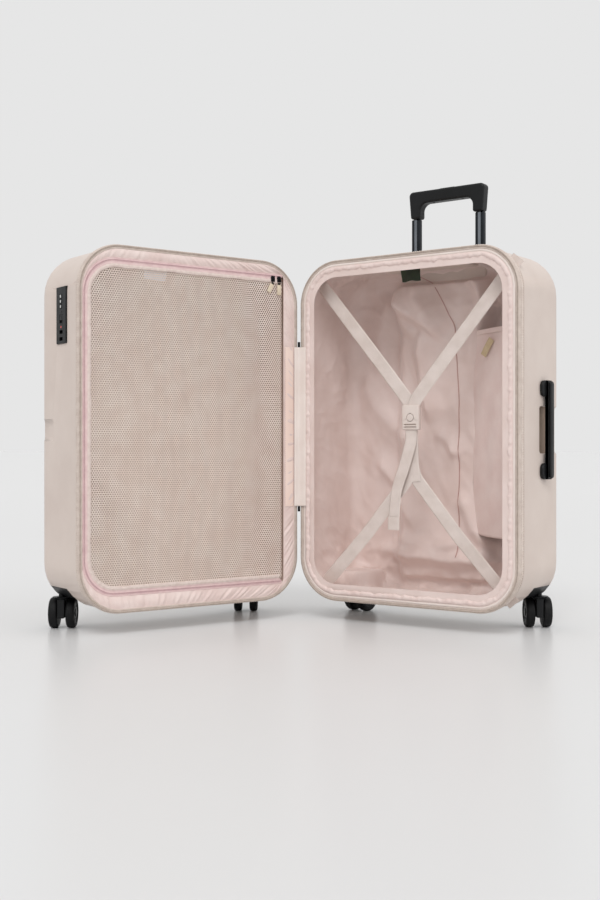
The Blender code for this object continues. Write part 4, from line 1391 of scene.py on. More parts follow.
buckle_low, buckle_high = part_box("buckle_body")
strap_y = (buckle_low.y + buckle_high.y) / 2 - hinge_line.y
webbing_width = 0.025
webbing_thickness = 0.0014
upper_low, upper_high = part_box("upper_straps")
anchor_z = upper_high.z - 0.009
anchor_x = (upper_high.x - upper_low.x) / 2 - 0.009
left_upper = band_of_webbing(
    "strap_upper_left",
    (
        (-anchor_x - 0.012, strap_y + 0.004, anchor_z + 0.015),
        (-anchor_x, strap_y + 0.001, anchor_z),
        (-0.060, strap_y + 0.001, buckle_high.z + 0.070),
        (-0.0085, strap_y + 0.0008, buckle_high.z + 0.009),
        (-0.0030, strap_y + 0.0006, buckle_high.z - 0.006),
    ),
    webbing_width,
    webbing_thickness,
    back_half,
    webbing_beige,
    "back_case",
    (8, 3, 0, 0, 0),
)
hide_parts("upper_straps")
band_of_webbing(
    "strap_upper_right",
    (
        (anchor_x + 0.012, strap_y + 0.003, anchor_z + 0.015),
        (anchor_x, strap_y - 0.001, anchor_z),
        (0.060, strap_y - 0.0012, buckle_high.z + 0.070),
        (0.0085, strap_y - 0.0012, buckle_high.z + 0.009),
        (0.0030, strap_y - 0.0010, buckle_high.z - 0.006),
    ),
    webbing_width,
    webbing_thickness,
    back_half,
    webbing_beige,
    "back_case",
    (-6, -2, 0, 0, 0),
)
lower_low, lower_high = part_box("lower_straps")
foot_x = (lower_high.x - lower_low.x) / 2 - 0.009
foot_z = lower_low.z + 0.009
apex_z = 0.262
for name, side, depth in (("left", -1, 0.0010), ("right", 1, 0.0026)):
    piece = band_of_webbing(
        f"strap_lower_{name}",
        (
            (0.0, strap_y + depth, apex_z + 0.035),
            (side * 0.006, strap_y + depth, apex_z + 0.006),
            (side * foot_x * 0.5, strap_y + depth, (apex_z + foot_z) / 2),
            (side * foot_x, strap_y + depth, foot_z),
            (side * (foot_x + 0.012), strap_y + depth + 0.004, foot_z - 0.014),
        ),
        webbing_width,
        webbing_thickness,
        back_half,
        webbing_beige,
        "back_case",
        (0, 0, 0, side * 3, side * 8),
    )
    if side > 0:
        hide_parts("lower_straps")
band_of_webbing(
    "strap_below_buckle",
    (
        (0.0, strap_y + 0.0008, buckle_low.z + 0.008),
        (0.0, strap_y + 0.0008, buckle_low.z - 0.020),
        (0.002, strap_y + 0.0010, apex_z + 0.030),
        (0.006, strap_y + 0.0012, apex_z - 0.002),
    ),
    0.0245,
    webbing_thickness,
    back_half,
    webbing_beige,
    "back_case",
)
tail = band_of_webbing(
    "strap_tail_free",
    (
        (0.0, strap_y - 0.0016, buckle_low.z + 0.006),
        (0.0, strap_y - 0.0022, buckle_low.z - 0.022),
        (-0.012, strap_y - 0.0040, 0.290),
        (-0.029, strap_y - 0.0048, 0.245),
        (-0.034, strap_y - 0.0042, 0.205),
        (-0.035, strap_y - 0.0036, 0.172),
    ),
    0.0235,
    webbing_thickness,
    back_half,
    webbing_beige,
    "back_case",
    (0, 0, 4, 6, 3, 0),
)
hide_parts("strap_tail")
band_of_webbing(
    "strap_tail_hem",
    (
        (-0.0350, strap_y - 0.0052, 0.196),
        (-0.0352, strap_y - 0.0052, 0.186),
        (-0.0352, strap_y - 0.0050, 0.172),
    ),
    0.0240,
    0.0020,
    back_half,
    webbing_beige,
    "back_case",
)


# Buckle: one moulded beige body with a round release button, a stepped seam line across it and
# two slots at its foot, where the webbing is threaded.

buckle_plastic = plain_finish(
    "moulded_acetal_beige",
    {"IOR": 1.48, "Specular IOR Level": 0.45},
    ("DDCFC7", "E2D6CF"),
    40,
    (0.32, 0.42),
    ((0.9, 0.015),),
)


def rounded_block(name, low, high, round_edge, half, material, body, segments=3):
    """A block between two corners, all its edges rounded, in a half's own directions."""
    low, high = Vector(low), Vector(high)
    bpy.ops.object.select_all(action="DESELECT")
    bpy.ops.mesh.primitive_cube_add(size=1, location=(low + high) / 2)
    piece = bpy.context.object
    piece.name = name
    piece.scale = high - low
    bpy.ops.object.transform_apply(location=True, rotation=True, scale=True)
    bpy.ops.object.mode_set(mode="EDIT")
    bpy.ops.mesh.select_all(action="SELECT")
    bpy.ops.mesh.bevel(offset=round_edge, segments=segments, affect="EDGES", clamp_overlap=True)
    bpy.ops.object.mode_set(mode="OBJECT")
    bpy.ops.object.shade_smooth_by_angle(angle=math.radians(40))
    piece.data.transform(half)
    piece.data.materials.append(material)
    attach(piece, body)
    return piece


def join_into(piece, others):
    select_only(piece)
    for other in others:
        other.select_set(True)
    bpy.ops.object.join()
    return piece


def carve(piece, cutters):
    """Cuts the cutters out of a piece and removes them."""
    for number, cutter in enumerate(cutters):
        apply_modifier(
            piece,
            f"cut_{number}",
            "BOOLEAN",
            {"object": cutter, "operation": "DIFFERENCE", "solver": "EXACT"},
        )
        bpy.data.objects.remove(cutter)
    select_only(piece)
    bpy.ops.object.shade_smooth_by_angle(angle=math.radians(35))


def turned_disc(name, centre, radius, low_y, high_y, round_edge, half, material, body):
    """A round disc across the mouth, its axis along y, with rounded rims."""
    bpy.ops.object.select_all(action="DESELECT")
    bpy.ops.mesh.primitive_cylinder_add(
        vertices=40,
        radius=radius,
        depth=high_y - low_y,
        location=(centre[0], (low_y + high_y) / 2, centre[1]),
        rotation=(math.pi / 2, 0, 0),
    )
    piece = bpy.context.object
    piece.name = name
    bpy.ops.object.transform_apply(location=True, rotation=True, scale=True)
    apply_modifier(
        piece,
        "rim",
        "BEVEL",
        {
            "width": round_edge,
            "segments": 3,
            "limit_method": "ANGLE",
            "angle_limit": math.radians(60),
        },
    )
    bpy.ops.object.shade_smooth_by_angle(angle=math.radians(40))
    piece.data.transform(half)
    piece.data.materials.append(material)
    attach(piece, body)
    return piece


buckle_half = 0.0178
buckle_front = strap_y - 0.0055
buckle = rounded_block(
    "buckle_moulded_body",
    (-buckle_half, buckle_front, buckle_low.z),
    (buckle_half, strap_y + 0.0045, buckle_high.z),
    0.0026,
    back_half,
    buckle_plastic,
    "back_case",
)
button_low, button_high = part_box("buckle_button")
button_z = (button_low.z + button_high.z) / 2
ring_groove = turned_disc(
    "ring_groove",
    (0, button_z),
    0.0076,
    buckle_front - 0.004,
    buckle_front + 0.0036,
    0.0002,
    back_half,
    buckle_plastic,
    "back_case",
)
slots = [
    rounded_block(
        f"slot_{number}",
        (-0.0130, buckle_front - 0.004, buckle_low.z + at),
        (0.0130, buckle_front + 0.0036, buckle_low.z + at + 0.0023),
        0.0008,
        back_half,
        buckle_plastic,
        "back_case",
    )
    for number, at in enumerate((0.0042, 0.0088))
]
seam_cuts = []
for number, (x0, z0, x1, z1) in enumerate(
    (
        (-0.0190, -0.0050, -0.0122, -0.0050),
        (-0.0124, -0.0053, -0.0076, -0.0012),
        (0.0076, -0.0012, 0.0124, -0.0053),
        (0.0122, -0.0050, 0.0190, -0.0050),
    )
):
    span = math.dist((x0, z0), (x1, z1))
    cut = rounded_block(
        f"seam_{number}",
        (-span / 2, -0.004, -0.0004),
        (span / 2, 0.0011, 0.0004),
        0.0001,
        back_half
        @ Matrix.Translation(((x0 + x1) / 2, buckle_front, button_z + (z0 + z1) / 2))
        @ Matrix.Rotation(-math.atan2(z1 - z0, x1 - x0), 4, "Y"),
        buckle_plastic,
        "back_case",
        1,
    )
    seam_cuts.append(cut)
carve(buckle, [ring_groove] + slots + seam_cuts)
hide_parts("buckle_body")
button = turned_disc(
    "buckle_release_button",
    (0, button_z),
    0.0066,
    buckle_front - 0.0009,
    buckle_front + 0.0030,
    0.0007,
    back_half,
    buckle_plastic,
    "buckle_button",
)
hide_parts("buckle_button")


# Label and loop in the back half: a plain dark green tab in the top seam, with no mark on it,
# and a small grey elastic loop that keeps the free tail tidy.

label_green = woven(
    "woven_label_dark_green",
    {"Sheen Weight": 0.2, "Specular IOR Level": 0.3},
    ("1F2A1C", "26331F"),
    12,
    (0.5, 0.65),
    (0.8, 0.8),
    0.03,
)
cloth_patch(
    "seam_label",
    (
        (-0.0275, 0.036, 0.6465),
        (0.0155, 0.034, 0.6465),
        (0.0150, 0.036, 0.6225),
        (-0.0260, 0.039, 0.6225),
    ),
    back_half,
    label_green,
    "back_case",
    bulge=lambda u, v: np.column_stack(
        (u * 0, 0.002 * np.sin(u * 5 + v * 2) * v, -0.0008 * np.sin(u * 9))
    ),
)
elastic_grey = woven(
    "braided_elastic_grey",
    {"Sheen Weight": 0.1, "Specular IOR Level": 0.3},
    ("9C948C", "ABA39B"),
    10,
    (0.6, 0.75),
    (1.2, 1.2),
    0.10,
)
band_of_webbing(
    "tail_keeper_loop",
    (
        (0.0085, strap_y + 0.006, 0.2905),
        (0.0040, strap_y + 0.003, 0.2860),
        (0.0020, strap_y + 0.0035, 0.2760),
        (-0.0020, strap_y + 0.006, 0.2680),
    ),
    0.006,
    0.0012,
    back_half,
    elastic_grey,
    "back_case",
    (20, 35, 10, 0),
)


# Side pocket: a satin panel across the corner beside the handle, hemmed along its open top.
# It is sewn to the rim and to the back of the lining, with a sand-coloured pull tab on it.

pocket_low, pocket_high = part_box("side_pocket")
pocket_near = pocket_low.y - hinge_line.y + 0.0008
pocket_far = pocket_high.y - hinge_line.y - 0.0140
pocket_outer_x = (pocket_high - back_half.translation).x - 0.001
pocket_inner_x = (pocket_low - back_half.translation).x - 0.012


def pocket_bulge(u, v):
    belly = np.sin(np.pi * np.clip(u, 0, 1)) * math.sin(math.pi * min(v * 0.9 + 0.05, 1))
    ripple = 0.0014 * np.sin(u * 17 + v * 5) + 0.0012 * np.sin(u * 7 - v * 9)
    push = -0.004 * belly + ripple * belly
    return np.column_stack((push * 0.75, push * 0.6, -0.010 * np.sin(np.pi * u) * (1 - v) * 0.3))


pocket = cloth_patch(
    "side_pocket_panel",
    (
        (pocket_outer_x, pocket_near, pocket_low.z),
        (pocket_inner_x, pocket_far, pocket_low.z),
        (pocket_inner_x, pocket_far, pocket_high.z),
        (pocket_outer_x, pocket_near, pocket_high.z),
    ),
    back_half,
    satin_border,
    "back_case",
    (46, 90),
    pocket_bulge,
)
apply_modifier(pocket, "cloth_thickness", "SOLIDIFY", {"thickness": 0.0006, "offset": 0.0})
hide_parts("side_pocket")


def pocket_point(share, z, proud=0.0):
    x = pocket_outer_x + (pocket_inner_x - pocket_outer_x) * share
    y = pocket_near + (pocket_far - pocket_near) * share
    return (x - proud * 0.75, y - proud * 0.6, z)


band_of_webbing(
    "pocket_hem",
    [
        pocket_point(share, pocket_high.z - 0.004, 0.0030 * math.sin(math.pi * share))
        for share in np.linspace(0, 1, 9)
    ],
    0.009,
    0.0016,
    back_half,
    satin_border,
    "back_case",
)
tab_beige = plain_finish(
    "coated_leather_tab_sand",
    {"Specular IOR Level": 0.35},
    ("C9B592", "D2C0A0"),
    10,
    (0.5, 0.65),
    ((1.0, 0.05),),
)
band_of_webbing(
    "pocket_pull_tab",
    (
        pocket_point(0.56, pocket_high.z - 0.020, 0.006),
        pocket_point(0.62, pocket_high.z - 0.034, 0.009),
        pocket_point(0.68, pocket_high.z - 0.048, 0.010),
    ),
    0.012,
    0.0014,
    back_half,
    tab_beige,
    "back_case",
)


# Seam of the back lining: a felled seam down the back wall, where the bag's two lengths of
# satin are sewn together. It shows as a thin raised line that follows the folds.

seam_rose = woven(
    "felled_seam_rose",
    {"Sheen Weight": 0.2, "Specular IOR Level": 0.3},
    ("B98F88", "C49C94"),
    10,
    (0.5, 0.65),
    (1.2, 1.2),
    0.03,
)
seam_places = (
    (-0.051, 0.646),
    (-0.014, 0.628),
    (0.012, 0.588),
    (0.032, 0.548),
    (0.039, 0.41),
    (0.039, 0.113),
)
seam_step = 0.006
seam_route = []
for (x, z), (next_x, next_z) in zip(seam_places, seam_places[1:]):
    steps = max(int(math.dist((x, z), (next_x, next_z)) / seam_step), 1)
    for step in range(steps):
        share = step / steps
        in_front = back_half @ Vector((x + (next_x - x) * share, 0.02, z + (next_z - z) * share))
        found, place, _, _ = lining_back.ray_cast(in_front, Vector((0, 1, 0)), distance=0.3)
        if found:
            place = back_half.inverted() @ place
            seam_route.append((place.x, place.y - 0.0006, place.z))
band_of_webbing(
    "lining_seam_long",
    seam_route,
    0.0016,
    0.0010,
    back_half,
    seam_rose,
    "back_case",
)


# Divider zip sliders and their pulls: blackened zinc bodies with a bridge and a wire eye, and
# a folded tab of sand-coloured coated leather on each.

black_zinc = plain_finish(
    "blackened_zinc_casting",
    {"Metallic": 0.85},
    ("16171A", "1E1F23"),
    6,
    (0.28, 0.42),
    ((0.8, 0.02),),
)
sand_leather = plain_finish(
    "coated_leather_sand",
    {"Specular IOR Level": 0.35},
    ("D8C8B0", "E0D2BC"),
    10,
    (0.5, 0.62),
    ((1.1, 0.05), (0.5, 0.02)),
)
slider_castings = (
    ("plate", -0.0040, 0.0040, -0.0032, -0.0012, -0.0055, 0.0055, 0.0007),
    ("bridge", -0.0013, 0.0013, -0.0050, -0.0026, -0.0046, 0.0046, 0.0009),
    ("wing_left", -0.0043, -0.0034, -0.0028, -0.0004, -0.0048, 0.0030, 0.0004),
    ("wing_right", 0.0034, 0.0043, -0.0028, -0.0004, -0.0048, 0.0030, 0.0004),
)
for name in ("one", "two"):
    body_low, body_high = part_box(f"divider_slider_{name}")
    middle = front_half.inverted() @ ((body_low + body_high) / 2)
    x, z = middle.x, middle.z
    rides = f"divider_slider_{name}"
    parts = [
        rounded_block(
            f"slider_{name}_{part}",
            (x + left, door_y + near, z + low),
            (x + right, door_y + far, z + high),
            round_edge,
            front_half,
            black_zinc,
            rides,
            2,
        )
        for part, left, right, near, far, low, high, round_edge in slider_castings
    ]
    slider = join_into(parts[0], parts[1:])
    slider.name = f"divider_slider_{name}_casting"
    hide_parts(f"divider_slider_{name}")
    tab_low, tab_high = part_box(f"divider_tab_{name}")
    ends = (front_half.inverted() @ tab_low, front_half.inverted() @ tab_high)
    tab_x, tab_y = (ends[0].x + ends[1].x) / 2, (ends[0].y + ends[1].y) / 2
    tilt = math.radians(28 if name == "two" else 0)
    lean = Matrix.Translation((tab_x, tab_y, tab_high.z)) @ Matrix.Rotation(tilt, 4, "Y")
    tab = rounded_block(
        f"divider_pull_{name}",
        (-0.0045, -0.0009, tab_low.z - tab_high.z + (0.0015 if name == "two" else 0.0)),
        (0.0045, 0.0009, -0.0040),
        0.0006,
        front_half @ lean,
        sand_leather,
        f"divider_tab_{name}",
        2,
    )
    rounded_block(
        f"divider_pull_eye_{name}",
        (-0.0024, -0.0007, -0.0052),
        (0.0024, 0.0007, -0.0002),
        0.0006,
        front_half @ lean,
        black_zinc,
        f"divider_tab_{name}",
        2,
    )
    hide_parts(f"divider_tab_{name}")
for name in ("upper", "lower"):
    skin_of(
        f"main_zip_slider_{name}",
        f"main_slider_{name}",
        f"main_zip_slider_{name}",
        black_zinc,
        0.3,
    )


# Telescopic trolley: anodised aluminium tubes in three stages, each with a shallow channel
# down its faces, in a moulded collar. The grip is one moulded piece, screwed from below.

anodised_tube = plain_finish(
    "black_anodised_aluminium",
    {"Metallic": 0.9},
    ("26282B", "2C2F33"),
    40,
    (0.26, 0.36),
    ((0.5, 0.012),),
)
moulded_black = plain_finish(
    "moulded_black_nylon",
    {"IOR": 1.53, "Specular IOR Level": 0.22},
    ("111213", "17181A"),
    60,
    (0.34, 0.46),
    ((0.9, 0.02), (0.4, 0.012)),
)
# Painted reflection: the channel floors of the inner tubes get a lighter grey metal, standing in
# for the key light's bright band reflected down each tube.
channel_painted_reflection = plain_finish(
    "channel_floor_painted_reflection",
    {"Metallic": 0.9},
    ("74797F", "82878D"),
    30,
    (0.30, 0.38),
    ((0.5, 0.010),),
)
for side in ("left", "right"):
    tube_low, tube_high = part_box(f"trolley_inner_{side}")
    low_point, high_point = back_half.inverted() @ tube_low, back_half.inverted() @ tube_high
    tube = rounded_block(
        f"trolley_inner_tube_{side}",
        low_point,
        high_point,
        0.0024,
        back_half,
        anodised_tube,
        "trolley_inner",
    )
    middle_x = (low_point.x + high_point.x) / 2
    channels = [
        rounded_block(
            f"channel_{side}_{face}",
            (middle_x - 0.0030, y - 0.0006, low_point.z + 0.012),
            (middle_x + 0.0030, y + 0.0006, high_point.z + 0.01),
            0.0004,
            back_half,
            anodised_tube,
            "trolley_inner",
            2,
        )
        for face, y in (("front", low_point.y), ("back", high_point.y))
    ]
    carve(tube, channels)
    # The channel floor faces take the lighter metal, a painted reflection.
    tube.data.materials.append(channel_painted_reflection)
    local = back_half.inverted()
    for polygon in tube.data.polygons:
        place = local @ polygon.center
        facing = abs(polygon.normal.y) > 0.9
        inner = low_point.y + 0.0003 < place.y < high_point.y - 0.0003
        if facing and inner and abs(place.x - middle_x) < 0.0031:
            polygon.material_index = 1
    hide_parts(f"trolley_inner_{side}")
    for stage, body in (("middle", "trolley_middle"), ("outer", "back_case")):
        skin_of(
            f"trolley_{stage}_{side}",
            f"trolley_{stage}_tube_{side}",
            body,
            anodised_tube,
            0.3,
        )
skin_of("trolley_collar", "trolley_collar_plate", "back_case", moulded_black, 0.6)
grip_low, grip_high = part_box("trolley_grip")
grip_middle = (grip_low + grip_high) / 2
grip_x = (back_half.inverted() @ grip_middle).x
grip_y = (back_half.inverted() @ grip_middle).y
grip_half = (grip_high.x - grip_low.x) / 2
grip_depth = (grip_high.y - grip_low.y) / 2
bpy.ops.object.select_all(action="DESELECT")
bpy.ops.mesh.primitive_cube_add(size=1)
grip = bpy.context.object
grip.name = "trolley_grip_moulded"
grip.scale = (2 * grip_half, 2 * grip_depth, grip_high.z - grip_low.z)
bpy.ops.object.transform_apply(location=True, rotation=True, scale=True)
grip.data.transform(Matrix.Translation((grip_x, grip_y, grip_middle.z)))
bpy.ops.object.mode_set(mode="EDIT")
bpy.ops.mesh.select_mode(type="EDGE")
bpy.ops.mesh.select_all(action="DESELECT")
bpy.ops.object.mode_set(mode="OBJECT")
for edge in grip.data.edges:
    ends = [grip.data.vertices[index].co for index in edge.vertices]
    upper = all(end.z > grip_middle.z for end in ends)
    edge.select = upper and abs(ends[0].y - ends[1].y) > 0.01
bpy.ops.object.mode_set(mode="EDIT")
bpy.ops.mesh.bevel(offset=0.0085, segments=8, affect="EDGES")
bpy.ops.mesh.select_all(action="DESELECT")
bpy.ops.object.mode_set(mode="OBJECT")
for vertex in grip.data.vertices:
    if vertex.co.z < grip_low.z + 0.001:
        vertex.co.x = grip_x + (vertex.co.x - grip_x) * 0.955
bpy.ops.object.select_all(action="DESELECT")
bpy.ops.mesh.primitive_cube_add(size=1)
arch = bpy.context.object
arch.scale = (0.1130, 0.08, 0.060)
bpy.ops.object.transform_apply(location=True, rotation=True, scale=True)
arch.data.transform(Matrix.Translation((grip_x, grip_y, grip_high.z - 0.0235 - 0.030)))
bpy.ops.object.mode_set(mode="EDIT")
bpy.ops.mesh.select_mode(type="EDGE")
bpy.ops.mesh.select_all(action="DESELECT")
bpy.ops.object.mode_set(mode="OBJECT")
for edge in arch.data.edges:
    ends = [arch.data.vertices[index].co for index in edge.vertices]
    upper = all(end.z > grip_high.z - 0.03 for end in ends)
    edge.select = upper and abs(ends[0].y - ends[1].y) > 0.01
bpy.ops.object.mode_set(mode="EDIT")
bpy.ops.mesh.bevel(offset=0.015, segments=10, affect="EDGES")
bpy.ops.object.mode_set(mode="OBJECT")
carve(grip, [arch])
apply_modifier(
    grip,
    "soft_edges",
    "BEVEL",
    {"width": 0.0042, "segments": 4, "limit_method": "ANGLE", "angle_limit": math.radians(50)},
)
button_well = rounded_block(
    "button_well",
    (grip_x - 0.0164, grip_y - 0.0059, grip_high.z - 0.0055),
    (grip_x + 0.0164, grip_y + 0.0059, grip_high.z + 0.01),
    0.0015,
    Matrix.Identity(4),
    moulded_black,
    "trolley_inner",
)
screw_x = 0.031
grip_underside = grip_high.z - 0.0235
screw_holes = []
for x in (-screw_x, screw_x):
    bpy.ops.object.select_all(action="DESELECT")
    bpy.ops.mesh.primitive_cylinder_add(
        vertices=20, radius=0.0030, depth=0.012, location=(grip_x + x, grip_y, grip_underside)
    )
    screw_holes.append(bpy.context.object)
carve(grip, [button_well] + screw_holes)
grip.data.transform(back_half)
grip.data.materials.clear()
grip.data.materials.append(moulded_black)
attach(grip, "trolley_inner")
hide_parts("trolley_grip")
for number, x in enumerate((-screw_x, screw_x)):
    bpy.ops.object.select_all(action="DESELECT")
    bpy.ops.mesh.primitive_cylinder_add(
        vertices=20,
        radius=0.0027,
        depth=0.0016,
        location=(grip_x + x, grip_y, grip_underside + 0.004),
    )
    screw = bpy.context.object
    screw.name = f"grip_screw_{number}"
    bpy.ops.object.transform_apply(location=True, rotation=True, scale=True)
    apply_modifier(screw, "edge", "BEVEL", {"width": 0.0005, "segments": 2})
    screw.data.transform(back_half)
    screw.data.materials.append(black_zinc)
    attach(screw, "trolley_inner")
skin_of(
    "trolley_button",
    "trolley_release_button",
    "trolley_button",
    moulded_black,
    0.5,
)


# Carry handles: a moulded bar with round ends on the side and another on top, each sliding a
# few millimetres out of its mounts. A parting line runs round the bar, a third in from its face.


def round_ended_bar(name, low, high, along, end_round, edge_round, material, body):
    """A flat bar between two world corners, its ends rounded in its own plane."""
    low, high = Vector(low), Vector(high)
    bpy.ops.object.select_all(action="DESELECT")
    bpy.ops.mesh.primitive_cube_add(size=1, location=(low + high) / 2)
    piece = bpy.context.object
    piece.name = name
    piece.scale = high - low
    bpy.ops.object.transform_apply(location=True, rotation=True, scale=True)
    bpy.ops.object.mode_set(mode="EDIT")
    bpy.ops.mesh.select_mode(type="EDGE")
    bpy.ops.mesh.select_all(action="DESELECT")
    bpy.ops.object.mode_set(mode="OBJECT")
    for edge in piece.data.edges:
        ends = [piece.data.vertices[index].co for index in edge.vertices]
        edge.select = abs(ends[0][along] - ends[1][along]) > 1e-5
    bpy.ops.object.mode_set(mode="EDIT")
    bpy.ops.mesh.bevel(offset=end_round, segments=8, affect="EDGES")
    bpy.ops.object.mode_set(mode="OBJECT")
    apply_modifier(
        piece,
        "edge_round",
        "BEVEL",
        {
            "width": edge_round,
            "segments": 3,
            "limit_method": "ANGLE",
            "angle_limit": math.radians(50),
        },
    )
    bpy.ops.object.shade_smooth_by_angle(angle=math.radians(35))
    piece.data.materials.append(material)
    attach(piece, body)
    return piece


side_low, side_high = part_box("side_handle_bar")
mount_low, mount_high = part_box("side_handle_mount_lower")
upper_mount_low, upper_mount_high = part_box("side_handle_mount_upper")
bar_inner_x = mount_high.x - 0.0030
parting_x = side_high.x - 0.0042
side_bar = round_ended_bar(
    "side_handle_grip",
    (bar_inner_x, side_low.y, side_low.z),
    (parting_x - 0.0003, side_high.y, side_high.z),
    1,
    0.0050,
    0.0018,
    moulded_black,
    "side_handle",
)
side_pieces = [
    round_ended_bar(
        "side_grip_face",
        (parting_x + 0.0003, side_low.y, side_low.z + 0.0016),
        (side_high.x, side_high.y, side_high.z - 0.0016),
        0,
        0.0066,
        0.0018,
        moulded_black,
        "side_handle",
    ),
    round_ended_bar(
        "side_grip_core",
        (parting_x - 0.001, side_low.y + 0.0008, side_low.z + 0.004),
        (parting_x + 0.001, side_high.y - 0.0008, side_high.z - 0.004),
        0,
        0.0058,
        0.0002,
        moulded_black,
        "side_handle",
    ),
]
join_into(side_bar, side_pieces)
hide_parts("side_handle_bar")
for name, low, high in (
    ("lower", mount_low, mount_high),
    ("upper", upper_mount_low, upper_mount_high),
):
    mount = round_ended_bar(
        f"side_handle_mount_{name}_moulded",
        low,
        high,
        0,
        0.0100,
        0.0020,
        moulded_black,
        "back_case",
    )
    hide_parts(f"side_handle_mount_{name}")
# Painted shade: a dark brown textured pad in the finger well behind the side handle, standing in
# for the shade inside the shell's scoop.
finger_well_painted_shade = plain_finish(
    "finger_well_painted_shade_polycarbonate",
    {"IOR": 1.585, "Specular IOR Level": 0.3},
    ("85705F", "917C6C"),
    14,
    (0.6, 0.72),
    ((2.2, 0.16), (1.1, 0.06)),
)
well_z = (mount_high.z + upper_mount_low.z) / 2
well_half = (upper_mount_low.z - mount_high.z) / 2 - 0.006
round_ended_bar(
    "finger_well_painted_shade_pad",
    (mount_low.x - 0.0092, mount_low.y + 0.003, well_z - well_half),
    (mount_low.x - 0.0072, mount_high.y + 0.016, well_z + well_half),
    0,
    0.0060,
    0.0004,
    finger_well_painted_shade,
    "back_case",
)
top_low, top_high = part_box("top_handle_bar")
_, base_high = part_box("top_handle_base")
top_bar = round_ended_bar(
    "top_handle_grip",
    (top_low.x, top_low.y, base_high.z + 0.0003),
    (top_high.x, top_high.y, top_high.z - 0.0032),
    2,
    0.0068,
    0.0010,
    moulded_black,
    "top_handle",
)
top_face = round_ended_bar(
    "top_grip_face",
    (top_low.x, top_low.y, top_high.z - 0.0026),
    (top_high.x, top_high.y, top_high.z),
    2,
    0.0068,
    0.0014,
    moulded_black,
    "top_handle",
)
top_core = round_ended_bar(
    "top_grip_core",
    (top_low.x + 0.0006, top_low.y + 0.0006, top_high.z - 0.0040),
    (top_high.x - 0.0006, top_high.y - 0.0006, top_high.z - 0.0020),
    2,
    0.0062,
    0.0002,
    moulded_black,
    "top_handle",
)
join_into(top_bar, [top_face, top_core])
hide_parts("top_handle_bar")
skin_of(
    "top_handle_base",
    "top_handle_base_moulded",
    "back_case",
    moulded_black,
    0.4,
)


# Casters: a moulded housing in each bottom corner, a fork that swivels under it and two wheels
# on one axle. Each wheel is a polyurethane tyre on a nylon hub with six openings.

tyre_polyurethane = plain_finish(
    "cast_polyurethane_tyre",
    {"IOR": 1.5, "Specular IOR Level": 0.2},
    ("121213", "171718"),
    20,
    (0.50, 0.62),
    ((1.2, 0.03), (0.5, 0.015)),
)


def select_top_face(piece, height):
    """Selects the faces that look up above this height, and leaves the piece in edit mode."""
    bpy.ops.object.mode_set(mode="OBJECT")
    for polygon in piece.data.polygons:
        polygon.select = polygon.normal.z > 0.999 and polygon.center.z > height
    for edge in piece.data.edges:
        edge.select = False
    for vertex in piece.data.vertices:
        vertex.select = False
    for polygon in piece.data.polygons:
        if polygon.select:
            for index in polygon.vertices:
                piece.data.vertices[index].select = True
    bpy.ops.object.mode_set(mode="EDIT")
    bpy.ops.mesh.select_mode(type="FACE")


wheel_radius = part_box("wheel_back_left_a")[1].z / 2
wheel_width = 0.0155
crown_height = 0.0547
bpy.ops.object.select_all(action="DESELECT")
bpy.ops.mesh.primitive_cylinder_add(vertices=56, radius=wheel_radius, depth=wheel_width)
tyre = bpy.context.object
tyre.name = "wheel_tyre_pattern"
apply_modifier(
    tyre,
    "tread_round",
    "BEVEL",
    {"width": 0.0040, "segments": 4, "limit_method": "ANGLE", "angle_limit": math.radians(60)},
)
select_top_face(tyre, wheel_width / 2 - 0.0002)
bpy.ops.mesh.inset(thickness=0.0042, depth=0)
bpy.ops.mesh.inset(thickness=0.0009, depth=-0.0014)
bpy.ops.mesh.inset(thickness=0.0100, depth=0.0004)
bpy.ops.mesh.inset(thickness=0.0008, depth=0.0011)
bpy.ops.mesh.inset(thickness=0.0016, depth=0.0004)
bpy.ops.object.mode_set(mode="OBJECT")
holes = []
for step in range(6):
    angle = step * math.pi / 3
    bpy.ops.object.select_all(action="DESELECT")
    bpy.ops.mesh.primitive_cylinder_add(
        vertices=18,
        radius=0.0029,
        depth=0.006,
        location=(0.0126 * math.cos(angle), 0.0126 * math.sin(angle), wheel_width / 2),
    )
    holes.append(bpy.context.object)
carve(tyre, holes)
tyre.data.materials.append(tyre_polyurethane)
tyre.data.materials.append(moulded_black)
for polygon in tyre.data.polygons:
    far_out = math.hypot(polygon.center.x, polygon.center.y) > wheel_radius - 0.0062
    polygon.material_index = 0 if far_out or polygon.center.z < 0 else 1
wheel_pattern = tyre.data.copy()
bpy.data.objects.remove(tyre)
